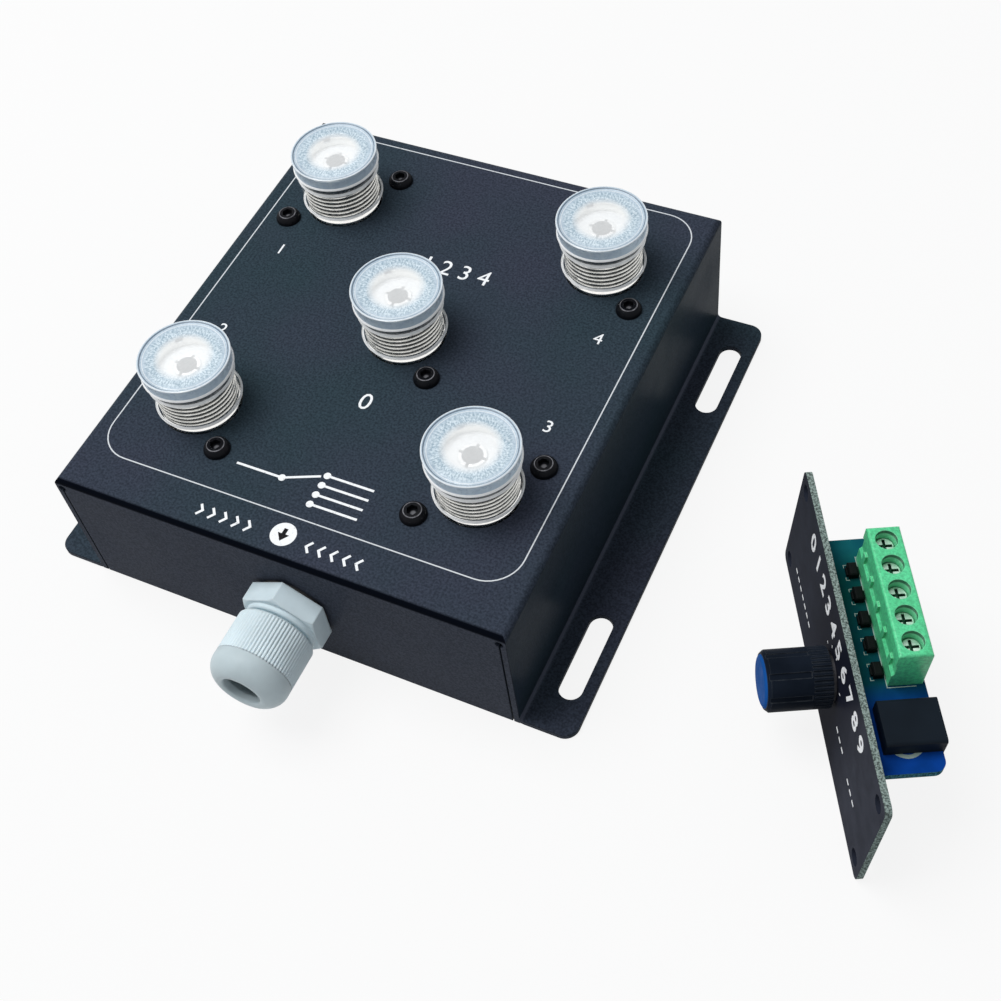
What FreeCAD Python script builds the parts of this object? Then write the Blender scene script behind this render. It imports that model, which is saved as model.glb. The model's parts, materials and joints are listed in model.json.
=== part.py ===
import FreeCAD, Part
import math
import os

from FreeCAD import Placement, Rotation, Vector as V

# Remote coaxial antenna switch: a folded steel relay box with one common and four
# antenna sockets, and the small hand controller that selects a socket.
# Frame: origin at the centre of the relay box's base, +X right, +Y back, +Z up.
# All sizes are in millimetres.

# Relay box, folded sheet
BOX_WIDTH = 96.0
BOX_DEPTH = 108.4
BOX_HEIGHT = 31.4
SHEET = 1.2
TOP_BEND = 1.4
FOOT_BEND = 1.0
SEAM = 0.3
SEAM_TOP = 29.0
SEAM_RELIEF_R = 0.8
EAR_WIDTH = 11.0
EAR_CORNER = 3.0
SLOT_LENGTH = 19.6
SLOT_WIDTH = 4.8
SLOT_OUTBOARD = 6.3
SLOT_Y = 37.0
PLATE_GAP = 0.3

# Socket places on the panel
PORT_X = 30.4
PORT_FRONT_Y = -27.3
PORT_BACK_Y = 32.8
COMMON_Y = 2.6

# Coaxial socket, 5/8 inch thread on a 25.4 mm flange; heights are above the flange's face
THREAD_R = 7.94
FLANGE_HALF = 12.7
FLANGE_THICK = 1.6
FLANGE_HOLE = 9.1
BARREL_TOP = 13.2
BARREL_BORE = 6.2
BOSS_R = 7.0
BOSS_DEPTH = 4.6
NOTCH_WIDTH = 1.6
NOTCH_DEPTH = 0.9
INSULATOR_TOP = 11.2
INSULATOR_NOSE_R = 4.6
INSULATOR_NOSE = 0.9
CONTACT_R = 2.8
CONTACT_BORE = 2.0
CONTACT_TOP = 12.4
CONTACT_FLOOR = 1.6
CONTACT_SLOT = 0.6
CONTACT_SLOT_DEPTH = 6.0
TAIL_R = 1.4
SOCKET_HOLE_R = 8.15

# Push-on dust cap
CAP_FIT = 0.1
CAP_WALL = 0.4
CAP_SKIRT_START = 3.3
CAP_CONE_START = 10.6
CAP_SHOULDER_R = 8.85
CAP_SHOULDER = 13.0
CAP_TOP = 15.1
CAP_DISC = 1.0
CAP_RIM_R = 9.15
CAP_RIM_HEIGHT = 1.35
CAP_RING = 0.7
CAP_DISH = 0.3

# M3 hardware
M3_R = 1.5
M3_CLEAR_R = 1.6
BUTTON_R = 2.65
BUTTON_FLAT_R = 1.65
BUTTON_HEIGHT = 1.65
BUTTON_LENGTH = 6.0
SOCKET_FLATS = 2.0
NUT_FLATS = 5.5
NUT_HEIGHT = 2.4
POST_FLATS = 6.0
POST_X = 41.5
POST_Y = 49.2
COUNTERSINK_R = 2.7

# Relay board, hung under the sockets
BOARD_THICK = 1.6
BOARD_TOP = 20.0
BOARD_HALF_X = 42.5
BOARD_HALF_Y = 43.4
RELAY_SIZE = (15.5, 19.2, 15.2)
RELAY_X = 15.5
RELAY_BACK_Y = 27.0
RELAY_FRONT_Y = -18.0
DIODE_SIZE = (2.6, 4.3, 2.0)

# Control-cable gland on the front wall, turned parts about an axis along -Y
GLAND_X = 2.2
GLAND_Z = 15.7
GLAND_FLATS = 15.3
GLAND_THREAD_R = 6.1
GLAND_INSIDE = 8.0
GASKET_R = 7.3
GASKET_THICK = 0.7
GLAND_HEX_END = 5.05
COLLAR_R = 7.2
COLLAR_END = 6.1
SPIGOT_R = 6.0
SPIGOT_END = 10.6
CLAW_END = 14.5
CLAW_R = 5.7
CLAW_COUNT = 8
SEAL_R = 4.5
SEAL_BORE = 3.0
SEAL_START = 4.3
SEAL_END = 15.0
SEAL_FIT = 0.05
DOME_START = 6.8
DOME_SHOULDER = 15.5
DOME_END = 20.3
DOME_R = 7.9
DOME_NOSE_R = 5.0
DOME_MOUTH = 3.9
DOME_BORE = 6.15
DOME_RIBS = 72
DOME_RIB_DEPTH = 0.25
LOCKNUT_FLATS = 17.0
LOCKNUT_THICK = 4.0

# Hand controller: own axes are +X along the panel, +Y behind it, +Z up the panel
CONTROLLER_X = 81.8
CONTROLLER_Y = -0.3
CONTROLLER_YAW = -61.4
CONTROLLER_LEAN = 4.0
PANEL_LENGTH = 68.0
PANEL_HEIGHT = 28.5
PANEL_THICK = 1.2
PANEL_CORNER = 1.5
PANEL_HOLE_R = 1.6
PANEL_HOLE_INSET = 3.2
KNOB_X = 35.5
KNOB_Z = 14.25
KNOB_R = 5.6
KNOB_BACK = 0.8
KNOB_FRONT = 12.3
KNOB_GROOVES = 8
KNOB_RIBS = 40
KNOB_CAVITY_R = 4.85
SHAFT_R = 3.0
SHAFT_FIT = 0.05
SHAFT_FLAT = 2.2
BUSH_R = 3.5
BUSH_LENGTH = 4.0
SWITCH_HALF = 6.3
SWITCH_BACK = 7.8
WAFER_THICK = 0.8
LOGIC_TOP = 22.85
LOGIC_START = 12.4
LOGIC_END = 58.9
LOGIC_BACK = 13.4
POLE_PITCH = 5.08
POLE_FIRST = 19.5
POLE_COUNT = 5
TERMINAL_FRONT = 7.0
TERMINAL_BACK = 12.9
TERMINAL_FOOT = 6.9
TERMINAL_WAIST = 7.35
TERMINAL_MARGIN = 0.3
TERMINAL_HEIGHT = 10.0
TERMINAL_SCREW_R = 1.8
TERMINAL_HOLE_R = 1.95
TERMINAL_SCREW_SUNK = 2.0
LINE_DIODE_SIZE = (2.7, 2.3, 1.5)
JACK_X = (46.8, 55.3)
JACK_Y = (3.4, 13.6)
JACK_Z = (18.3, 26.3)
JACK_BORE = 2.9
JACK_PIN_R = 1.0

DOWN = V(0, 0, -1)
UP = V(0, 0, 1)
CORNERS = ((-1, -1), (1, -1), (1, 1), (-1, 1))
PORTS = {
    "port1": (-PORT_X, PORT_BACK_Y),
    "port2": (-PORT_X, PORT_FRONT_Y),
    "port3": (PORT_X, PORT_FRONT_Y),
    "port4": (PORT_X, PORT_BACK_Y),
    "common": (0.0, COMMON_Y),
}
# Which pair of the flange's four holes holds a screw: +1 for front-left and back-right
SCREW_PAIR = {"port1": 1, "port2": -1, "port3": 1, "port4": -1, "common": -1}


def block(x, y, z):
    """Box between the pairs of limits x, y and z."""
    return Part.makeBox(x[1] - x[0], y[1] - y[0], z[1] - z[0], V(x[0], y[0], z[0]))


def rod(radius, z, at=(0.0, 0.0)):
    """Upright cylinder between the heights z."""
    return Part.makeCylinder(radius, z[1] - z[0], V(at[0], at[1], z[0]))


def tube(outer, inner, z, at=(0.0, 0.0)):
    return rod(outer, z, at).cut(rod(inner, z, at))


def turned(points):
    """Solid of revolution about Z of a closed (radius, height) outline."""
    corners = [V(r, 0, z) for r, z in points]
    face = Part.Face(Part.makePolygon(corners + corners[:1]))
    return face.revolve(V(0, 0, 0), UP, 360)


def turned_outline(segments):
    """Solid of revolution about Z of an outline given as Part edges."""
    return Part.Face(Part.Wire(segments)).revolve(V(0, 0, 0), UP, 360)


def hexagon(flats, z, at=(0.0, 0.0)):
    radius = flats / math.sqrt(3)
    corners = [V(radius * math.cos(a), radius * math.sin(a), 0) + V(at[0], at[1], z[0])
               for a in (math.radians(60 * i) for i in range(7))]
    return Part.Face(Part.makePolygon(corners)).extrude(V(0, 0, z[1] - z[0]))


def rounded_plate(x, y, z, radius):
    """Flat plate between limits, its upright corners rounded."""
    plate = block(x, y, z)
    upright = [e for e in plate.Edges if abs(e.tangentAt(e.FirstParameter).z) > 0.99]
    return plate.makeFillet(radius, upright)


def obround(length, width, z, at):
    """Slot cutter, long way along Y."""
    reach = (length - width) / 2
    middle = block((at[0] - width / 2, at[0] + width / 2), (at[1] - reach, at[1] + reach), z)
    ends = [rod(width / 2, z, (at[0], at[1] + s * reach)) for s in (-1, 1)]
    return middle.fuse(ends).removeSplitter()


def group(solids):
    return Part.makeCompound(solids)


def moved(shape, x=0.0, y=0.0, z=0.0):
    copy = shape.copy()
    copy.translate(V(x, y, z))
    return copy


# ---- relay box -------------------------------------------------------------

def folded_block(half_x, half_y, height, radius):
    """Box with bent top edges whose bends meet in mitres at the corners."""
    def bent(half, length, along_x):
        def at(u, z):
            return V(-length, u, z) if along_x else V(u, -length, z)
        k = radius * (1 - math.sqrt(0.5))
        edges = [
            Part.LineSegment(at(-half, 0), at(-half, height - radius)),
            Part.Arc(at(-half, height - radius), at(-half + k, height - k), at(-half + radius, height)),
            Part.LineSegment(at(-half + radius, height), at(half - radius, height)),
            Part.Arc(at(half - radius, height), at(half - k, height - k), at(half, height - radius)),
            Part.LineSegment(at(half, height - radius), at(half, 0)),
            Part.LineSegment(at(half, 0), at(-half, 0)),
        ]
        face = Part.Face(Part.Wire([e.toShape() for e in edges]))
        return face.extrude(V(2 * length, 0, 0) if along_x else V(0, 2 * length, 0))
    return bent(half_x, half_y, False).common(bent(half_y, half_x, True))


def ear(side):
    """Foot bend and mounting ear along one side wall, with rounded corners and two slots."""
    wall = BOX_WIDTH / 2
    rise = SHEET + FOOT_BEND
    centre = wall + FOOT_BEND
    outer = SHEET + FOOT_BEND
    d = math.sqrt(0.5)

    def at(x, z):
        return V(x, -BOX_DEPTH / 2, z)
    edges = [
        Part.LineSegment(at(wall - SHEET, rise), at(wall, rise)),
        Part.Arc(at(wall, rise), at(centre - FOOT_BEND * d, rise - FOOT_BEND * d), at(centre, SHEET)),
        Part.LineSegment(at(centre, SHEET), at(wall + EAR_WIDTH, SHEET)),
        Part.LineSegment(at(wall + EAR_WIDTH, SHEET), at(wall + EAR_WIDTH, 0)),
        Part.LineSegment(at(wall + EAR_WIDTH, 0), at(centre, 0)),
        Part.Arc(at(centre, 0), at(centre - outer * d, rise - outer * d), at(wall - SHEET, rise)),
    ]
    strip = Part.Face(Part.Wire([e.toShape() for e in edges])).extrude(V(0, BOX_DEPTH, 0))
    edge = wall + EAR_WIDTH - 0.01
    corners = [e for e in strip.Edges
               if abs(e.tangentAt(e.FirstParameter).z) > 0.99 and e.CenterOfMass.x > edge]
    strip = strip.makeFillet(EAR_CORNER, corners)
    for y in (-SLOT_Y, SLOT_Y):
        strip = strip.cut(obround(SLOT_LENGTH, SLOT_WIDTH, (-1, SHEET + 1), (wall + SLOT_OUTBOARD, y)))
    if side < 0:
        strip = strip.mirror(V(0, 0, 0), V(1, 0, 0))
    return strip


def screw_places(port):
    x, y = PORTS[port]
    pair = SCREW_PAIR[port]
    return [(x - FLANGE_HOLE, y - pair * FLANGE_HOLE), (x + FLANGE_HOLE, y + pair * FLANGE_HOLE)]


def all_screw_places():
    return [place for port in PORTS for place in screw_places(port)]


def spacer_places():
    """The outermost screw of each antenna socket carries the relay board."""
    return [max(screw_places(port), key=lambda p: abs(p[0])) for port in PORTS if port != "common"]


def nut_places():
    spacers = spacer_places()
    return [place for place in all_screw_places() if place not in spacers]


def corner_seams():
    """Gaps where the front and back walls butt against the side walls, each with a relief hole."""
    seam = BOX_WIDTH / 2 - SHEET
    cutters = []
    for sx, sy in CORNERS:
        x = sorted((sx * (seam - SEAM), sx * seam))
        y = sorted((sy * (BOX_DEPTH / 2 - SHEET), sy * (BOX_DEPTH / 2 + 1)))
        cutters.append(block(x, y, (-1, SEAM_TOP)))
        relief = V(sx * (seam - SEAM / 2), y[0], SEAM_TOP)
        cutters.append(Part.makeCylinder(SEAM_RELIEF_R, y[1] - y[0], relief, V(0, 1, 0)))
    return cutters


def cover():
    """One sheet: top, four walls and two slotted ears."""
    half_x, half_y = BOX_WIDTH / 2, BOX_DEPTH / 2
    skin = folded_block(half_x, half_y, BOX_HEIGHT, TOP_BEND)
    skin = skin.cut(folded_block(half_x - SHEET, half_y - SHEET, BOX_HEIGHT - SHEET, TOP_BEND - SHEET))
    inner_y = (-half_y + SHEET, half_y - SHEET)
    for side in (-1, 1):
        limits = sorted((side * (half_x - SHEET), side * half_x))
        skin = skin.cut(block(limits, inner_y, (0, SHEET + FOOT_BEND)))
    skin = skin.fuse([ear(-1), ear(1)])
    cutters = [rod(SOCKET_HOLE_R, (BOX_HEIGHT - 5, BOX_HEIGHT + 5), place) for place in PORTS.values()]
    cutters += [rod(M3_CLEAR_R, (BOX_HEIGHT - 5, BOX_HEIGHT + 5), place) for place in all_screw_places()]
    cutters.append(to_front_wall(rod(GLAND_THREAD_R + 0.1, (-5, 5))))
    cutters += corner_seams()
    return skin.cut(cutters).removeSplitter()


def bottom_plate():
    half_x = BOX_WIDTH / 2 - SHEET - PLATE_GAP
    half_y = BOX_DEPTH / 2 - SHEET - PLATE_GAP
    plate = block((-half_x, half_x), (-half_y, half_y), (0, SHEET))
    sink = turned([(0, 0), (COUNTERSINK_R, 0), (M3_R, SHEET), (0, SHEET)])
    return plate.cut([moved(sink, *place) for place in post_places()])


def post_places():
    return [(sx * POST_X, sy * POST_Y) for sx, sy in CORNERS]


def corner_posts():
    """Clinch posts that hang from the top and take the bottom plate's screws."""
    post = hexagon(POST_FLATS, (SHEET, BOX_HEIGHT - SHEET)).cut(rod(M3_R, (SHEET, 12)))
    return group([moved(post, *place) for place in post_places()])


def bottom_screws():
    screw = turned([(0, 0), (COUNTERSINK_R, 0), (M3_R, SHEET), (M3_R, 9), (0, 9)])
    screw = screw.cut(hexagon(SOCKET_FLATS, (0, 0.9)))
    return group([moved(screw, *place) for place in post_places()])


# ---- coaxial sockets -------------------------------------------------------

def socket_shell():
    half = FLANGE_HALF
    flange = rounded_plate((-half, half), (-half, half), (-FLANGE_THICK, 0), 2.0)
    barrel = turned([(0, -BOSS_DEPTH), (BOSS_R, -BOSS_DEPTH), (BOSS_R, -FLANGE_THICK / 2),
                     (THREAD_R, -FLANGE_THICK / 2), (THREAD_R, 1.9), (THREAD_R - 0.5, 2.2),
                     (THREAD_R - 0.5, 2.9), (THREAD_R, 3.2), (THREAD_R, BARREL_TOP - 0.5),
                     (THREAD_R - 0.5, BARREL_TOP), (0, BARREL_TOP)])
    shell = flange.fuse(barrel).cut(rod(BARREL_BORE, (-BOSS_DEPTH - 1, BARREL_TOP + 1)))
    z = (BARREL_TOP - NOTCH_DEPTH, BARREL_TOP + 1)
    for angle in (45, 135):
        bar = block((-10, 10), (-NOTCH_WIDTH / 2, NOTCH_WIDTH / 2), z)
        bar.rotate(V(0, 0, 0), UP, angle)
        shell = shell.cut(bar)
    holes = [rod(M3_CLEAR_R, (-5, 1), (sx * FLANGE_HOLE, sy * FLANGE_HOLE)) for sx, sy in CORNERS]
    return shell.cut(holes).removeSplitter()


def socket_insulator():
    nose = INSULATOR_TOP + INSULATOR_NOSE
    return turned([(CONTACT_R, -BOSS_DEPTH), (BARREL_BORE, -BOSS_DEPTH), (BARREL_BORE, INSULATOR_TOP),
                   (INSULATOR_NOSE_R, INSULATOR_TOP), (INSULATOR_NOSE_R, nose), (CONTACT_R, nose)])


def socket_contact():
    """Split socket contact with a solder tail that reaches through the relay board."""
    tail_end = BOARD_TOP - BOARD_THICK - (BOX_HEIGHT - SHEET) - 0.8
    contact = turned([(0, tail_end), (TAIL_R, tail_end), (TAIL_R, -BOSS_DEPTH), (CONTACT_R, -BOSS_DEPTH),
                      (CONTACT_R, CONTACT_TOP - 0.2), (CONTACT_R - 0.2, CONTACT_TOP),
                      (CONTACT_BORE, CONTACT_TOP), (CONTACT_BORE, CONTACT_FLOOR), (0, CONTACT_FLOOR - 0.8)])
    z = (CONTACT_TOP - CONTACT_SLOT_DEPTH, CONTACT_TOP + 1)
    across = block((-5, 5), (-CONTACT_SLOT / 2, CONTACT_SLOT / 2), z)
    along = block((-CONTACT_SLOT / 2, CONTACT_SLOT / 2), (-5, 5), z)
    return contact.cut([across, along])


def dust_cap():
    inner = THREAD_R + CAP_FIT
    outer = inner + CAP_WALL
    under = CAP_TOP - CAP_DISC
    ring = CAP_RIM_R - CAP_RING
    return turned([(0, under), (inner, under), (inner, CAP_SKIRT_START + 0.4),
                   (inner + 0.25, CAP_SKIRT_START), (outer, CAP_SKIRT_START), (outer, CAP_CONE_START),
                   (CAP_SHOULDER_R, CAP_SHOULDER), (CAP_RIM_R, CAP_TOP - CAP_RIM_HEIGHT),
                   (CAP_RIM_R, CAP_TOP - 0.2), (CAP_RIM_R - 0.2, CAP_TOP), (ring, CAP_TOP),
                   (ring - 0.3, CAP_TOP - CAP_DISH), (0, CAP_TOP - CAP_DISH)])


def button_screw():
    """M3 button head with a hexagon socket, head seated at z = 0."""
    edges = [
        Part.LineSegment(V(0, 0, -BUTTON_LENGTH), V(M3_R, 0, -BUTTON_LENGTH)),
        Part.LineSegment(V(M3_R, 0, -BUTTON_LENGTH), V(M3_R, 0, 0)),
        Part.LineSegment(V(M3_R, 0, 0), V(BUTTON_R, 0, 0)),
        Part.LineSegment(V(BUTTON_R, 0, 0), V(BUTTON_R, 0, 0.35)),
        Part.Arc(V(BUTTON_R, 0, 0.35), V(2.3, 0, 1.15), V(BUTTON_FLAT_R, 0, BUTTON_HEIGHT)),
        Part.LineSegment(V(BUTTON_FLAT_R, 0, BUTTON_HEIGHT), V(0, 0, BUTTON_HEIGHT)),
        Part.LineSegment(V(0, 0, BUTTON_HEIGHT), V(0, 0, -BUTTON_LENGTH)),
    ]
    screw = turned_outline([e.toShape() for e in edges])
    return screw.cut(hexagon(SOCKET_FLATS, (BUTTON_HEIGHT - 1.05, BUTTON_HEIGHT + 1)))


def socket_screws():
    screw = button_screw()
    return group([moved(screw, x, y, BOX_HEIGHT) for x, y in all_screw_places()])


def socket_nuts():
    top = BOX_HEIGHT - SHEET - FLANGE_THICK
    nut = hexagon(NUT_FLATS, (top - NUT_HEIGHT, top)).cut(rod(M3_R, (top - 5, top + 5)))
    return group([moved(nut, *place) for place in nut_places()])


# ---- relay board -----------------------------------------------------------

def board_spacers():
    top = BOX_HEIGHT - SHEET - FLANGE_THICK
    spacer = hexagon(NUT_FLATS, (BOARD_TOP, top)).cut(rod(M3_R, (BOARD_TOP - 1, top + 1)))
    return group([moved(spacer, *place) for place in spacer_places()])


def board_screws():
    under = BOARD_TOP - BOARD_THICK
    screw = turned([(0, under - 1.8), (2.2, under - 1.8), (2.75, under - 1.2), (2.75, under),
                    (M3_R, under), (M3_R, BOARD_TOP + 4), (0, BOARD_TOP + 4)])
    return group([moved(screw, *place) for place in spacer_places()])


def relay_board():
    z = (BOARD_TOP - BOARD_THICK, BOARD_TOP)
    board = rounded_plate((-BOARD_HALF_X, BOARD_HALF_X), (-BOARD_HALF_Y, BOARD_HALF_Y), z, 2.0)
    holes = [rod(TAIL_R, (z[0] - 1, z[1] + 1), place) for place in PORTS.values()]
    holes += [rod(M3_R, (z[0] - 1, z[1] + 1), place) for place in spacer_places()]
    return board.cut(holes)


def relay(port):
    """Sealed changeover relay under the board, beside its socket."""
    side = 1 if PORTS[port][0] > 0 else -1
    y = RELAY_BACK_Y if PORTS[port][1] > 0 else RELAY_FRONT_Y
    wide, long, high = RELAY_SIZE
    top = BOARD_TOP - BOARD_THICK
    case = block((-wide / 2, wide / 2), (-long / 2, long / 2), (top - high, top))
    lower = [e for e in case.Edges if e.CenterOfMass.z < top - 0.1]
    return moved(case.makeFillet(0.8, lower), side * RELAY_X, y)


def chip_diode(size, z):
    """Small moulded diode with a tab at each end, long way along Y, standing up from z."""
    wide, long, high = size
    body = block((-wide / 2, wide / 2), (-long * 0.36, long * 0.36), (z + 0.1, z + high))
    body = body.makeChamfer(0.25, [e for e in body.Edges if e.CenterOfMass.z > z + high - 0.01])
    tabs = [block((-wide * 0.3, wide * 0.3), sorted((s * long * 0.3, s * long * 0.5)), (z, z + high * 0.4))
            for s in (-1, 1)]
    return body.fuse(tabs)


def relay_diodes():
    under = BOARD_TOP - BOARD_THICK
    diode = chip_diode(DIODE_SIZE, 0).mirror(V(0, 0, 0), UP)
    rows = (RELAY_BACK_Y - 13.0, RELAY_FRONT_Y + 13.0)
    return group([moved(diode, side * RELAY_X, y, under) for side in (-1, 1) for y in rows])


def control_terminal():
    """Five-pole screw terminal under the board, its wire entries facing the gland."""
    under = BOARD_TOP - BOARD_THICK
    half = POLE_PITCH * POLE_COUNT / 2
    front, back = -41.5, -33.9
    body = block((-half, half), (front, back), (under - TERMINAL_HEIGHT, under))
    cutters = []
    for i in range(POLE_COUNT):
        x = POLE_PITCH * (i - (POLE_COUNT - 1) / 2)
        cutters.append(block((x - 1.6, x + 1.6), (front - 1, front + 5), (under - 4.8, under - 1.6)))
        cutters.append(rod(TERMINAL_HOLE_R, (under - TERMINAL_HEIGHT - 1, under - 5.6), (x, front + 3.8)))
    return body.cut(cutters)


# ---- cable gland -----------------------------------------------------------

def to_front_wall(shape):
    """Turn a part made about +Z so that it points out of the front wall's gland hole."""
    shape = shape.copy()
    place = Placement(V(GLAND_X, -BOX_DEPTH / 2, GLAND_Z), Rotation(V(1, 0, 0), 90))
    shape.Placement = place.multiply(shape.Placement)
    return shape


def gland_body():
    """Threaded stub, hexagon with a corner up, collar, spigot ending in a ring of clamping claws."""
    flange = hexagon(GLAND_FLATS, (GASKET_THICK, GLAND_HEX_END))
    flange.rotate(V(0, 0, 0), UP, 30)
    corner = GLAND_FLATS / math.sqrt(3)
    chamfer = turned([(0, -1), (corner + 0.1, -1), (corner + 0.1, GLAND_HEX_END - 0.5),
                      (corner - 0.9, GLAND_HEX_END), (0, GLAND_HEX_END)])
    stub = turned([(0, -GLAND_INSIDE), (GLAND_THREAD_R - 0.6, -GLAND_INSIDE),
                   (GLAND_THREAD_R, -GLAND_INSIDE + 0.6), (GLAND_THREAD_R, GASKET_THICK + 1),
                   (COLLAR_R, GASKET_THICK + 1), (COLLAR_R, COLLAR_END - 0.3), (COLLAR_R - 0.3, COLLAR_END),
                   (SPIGOT_R, COLLAR_END), (SPIGOT_R, SPIGOT_END), (CLAW_R, SPIGOT_END),
                   (CLAW_R, CLAW_END - 1.2), (CLAW_R - 0.8, CLAW_END), (0, CLAW_END)])
    body = flange.common(chamfer).fuse(stub)
    seat = SEAL_START - 0.3
    body = body.cut(turned([(0, -GLAND_INSIDE - 1), (3.6, -GLAND_INSIDE - 1), (3.6, seat),
                            (SEAL_R + SEAL_FIT, seat), (SEAL_R + SEAL_FIT, CLAW_END + 1), (0, CLAW_END + 1)]))
    for i in range(CLAW_COUNT // 2):
        gap = block((-10, 10), (-0.45, 0.45), (SPIGOT_END + 0.2, CLAW_END + 1))
        gap.rotate(V(0, 0, 0), UP, 360 / CLAW_COUNT * i)
        body = body.cut(gap)
    return to_front_wall(body.removeSplitter())


def gland_gasket():
    return to_front_wall(tube(GASKET_R, GLAND_THREAD_R, (0, GASKET_THICK)))


def gland_locknut():
    z = (-SHEET - LOCKNUT_THICK, -SHEET)
    nut = hexagon(LOCKNUT_FLATS, z).cut(rod(GLAND_THREAD_R, (z[0] - 1, z[1] + 1)))
    return to_front_wall(nut)


def gland_seal():
    seal = turned([(SEAL_BORE, SEAL_START), (SEAL_R, SEAL_START), (SEAL_R, SEAL_END - 0.6),
                   (SEAL_R - 0.6, SEAL_END), (SEAL_BORE, SEAL_END)])
    return to_front_wall(seal)


def gland_nut():
    """Domed clamping nut: ribbed grip, shoulder, rounded nose, cone that closes the claws."""
    ring = DOME_SHOULDER + 0.5
    cheek_r = (DOME_R + DOME_NOSE_R) / 2 + 0.65
    cheek = (ring + DOME_END) / 2 + 0.75
    outline = [
        Part.LineSegment(V(DOME_BORE, 0, DOME_START), V(DOME_R - 0.3, 0, DOME_START)),
        Part.LineSegment(V(DOME_R - 0.3, 0, DOME_START), V(DOME_R, 0, DOME_START + 0.4)),
        Part.LineSegment(V(DOME_R, 0, DOME_START + 0.4), V(DOME_R, 0, ring)),
        Part.Arc(V(DOME_R, 0, ring), V(cheek_r, 0, cheek), V(DOME_NOSE_R, 0, DOME_END)),
        Part.LineSegment(V(DOME_NOSE_R, 0, DOME_END), V(DOME_MOUTH + 0.5, 0, DOME_END)),
        Part.Arc(V(DOME_MOUTH + 0.5, 0, DOME_END), V(DOME_MOUTH + 0.15, 0, DOME_END - 0.15),
                 V(DOME_MOUTH, 0, DOME_END - 0.5)),
        Part.LineSegment(V(DOME_MOUTH, 0, DOME_END - 0.5), V(DOME_MOUTH, 0, DOME_END - 1.6)),
        Part.LineSegment(V(DOME_MOUTH, 0, DOME_END - 1.6), V(DOME_BORE, 0, CLAW_END + 0.8)),
        Part.LineSegment(V(DOME_BORE, 0, CLAW_END + 0.8), V(DOME_BORE, 0, DOME_START)),
    ]
    nut = turned_outline([e.toShape() for e in outline])
    groove = Part.makePolygon([V(DOME_R + 0.1, -0.3, 0), V(DOME_R - DOME_RIB_DEPTH, 0, 0),
                               V(DOME_R + 0.1, 0.3, 0), V(DOME_R + 0.1, -0.3, 0)])
    cutter = Part.Face(groove).extrude(V(0, 0, DOME_SHOULDER - DOME_START + 1))
    cutter.translate(V(0, 0, DOME_START - 1))
    grooves = []
    for i in range(DOME_RIBS):
        one = cutter.copy()
        one.rotate(V(0, 0, 0), UP, 360 / DOME_RIBS * i)
        grooves.append(one)
    return to_front_wall(nut.cut(grooves))


# ---- hand controller -------------------------------------------------------

def to_controller(shape):
    """Put a part made in the controller's own axes where the controller stands."""
    shape = shape.copy()
    lean = math.radians(CONTROLLER_LEAN)
    foot = V(CONTROLLER_X, CONTROLLER_Y, PANEL_THICK * math.sin(lean))
    turn = Rotation(V(0, 0, 1), CONTROLLER_YAW).multiply(Rotation(V(1, 0, 0), -CONTROLLER_LEAN))
    shape.Placement = Placement(foot, turn).multiply(shape.Placement)
    return shape


def on_knob_axis(shape):
    """Lay a part made about +Z along the knob's axis, +Z pointing out of the panel's front."""
    shape = shape.copy()
    place = Placement(V(KNOB_X, 0, KNOB_Z), Rotation(V(1, 0, 0), 90))
    shape.Placement = place.multiply(shape.Placement)
    return shape


def front_panel():
    y = (0, PANEL_THICK)
    plate = block((0, PANEL_LENGTH), y, (0, PANEL_HEIGHT))
    corners = [e for e in plate.Edges if abs(e.tangentAt(e.FirstParameter).y) > 0.99]
    plate = plate.makeFillet(PANEL_CORNER, corners)
    inset = PANEL_HOLE_INSET
    cutters = [Part.makeCylinder(PANEL_HOLE_R, PANEL_THICK + 2, V(x, -1, z), V(0, 1, 0))
               for x in (inset, PANEL_LENGTH - inset) for z in (inset, PANEL_HEIGHT - inset)]
    cutters.append(on_knob_axis(rod(BUSH_R, (-PANEL_THICK - 1, 1))))
    return to_controller(plate.cut(cutters))


def logic_board():
    z = (LOGIC_TOP - BOARD_THICK, LOGIC_TOP)
    board = block((LOGIC_START, LOGIC_END), (PANEL_THICK, LOGIC_BACK), z)
    rear = [e for e in board.Edges
            if abs(e.tangentAt(e.FirstParameter).z) > 0.99 and e.CenterOfMass.y > LOGIC_BACK - 0.1]
    board = board.makeFillet(2.0, rear)
    board = board.cut(block(JACK_X, (JACK_Y[0], LOGIC_BACK + 1), (z[0] - 1, z[1] + 1)))
    holes = [block(x, y, (z[0] - 1, LOGIC_TOP + 1)) for x, y in switch_pin_places()]
    return to_controller(board.cut(holes))


def switch_pin_places():
    y = (SWITCH_BACK + WAFER_THICK, SWITCH_BACK + WAFER_THICK + 0.5)
    return [((KNOB_X + 2.0 * i - 0.4, KNOB_X + 2.0 * i + 0.4), y) for i in range(-2, 3)]


def switch_body():
    """Rotary switch housing with its threaded bush through the panel."""
    half = SWITCH_HALF
    back = -SWITCH_BACK
    housing = rounded_plate((-half, half), (-half, half), (back, -PANEL_THICK), 1.5)
    bush = turned([(0, -PANEL_THICK - 0.5), (BUSH_R, -PANEL_THICK - 0.5), (BUSH_R, BUSH_LENGTH - 0.4),
                   (BUSH_R - 0.4, BUSH_LENGTH), (0, BUSH_LENGTH)])
    body = housing.fuse(bush)
    body = body.cut(rod(SHAFT_R + SHAFT_FIT, (-PANEL_THICK - 3, BUSH_LENGTH + 1)))
    body = body.cut(rod(5.3, (back - 1, -PANEL_THICK - 2.0)))
    return to_controller(on_knob_axis(body.removeSplitter()))


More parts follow.
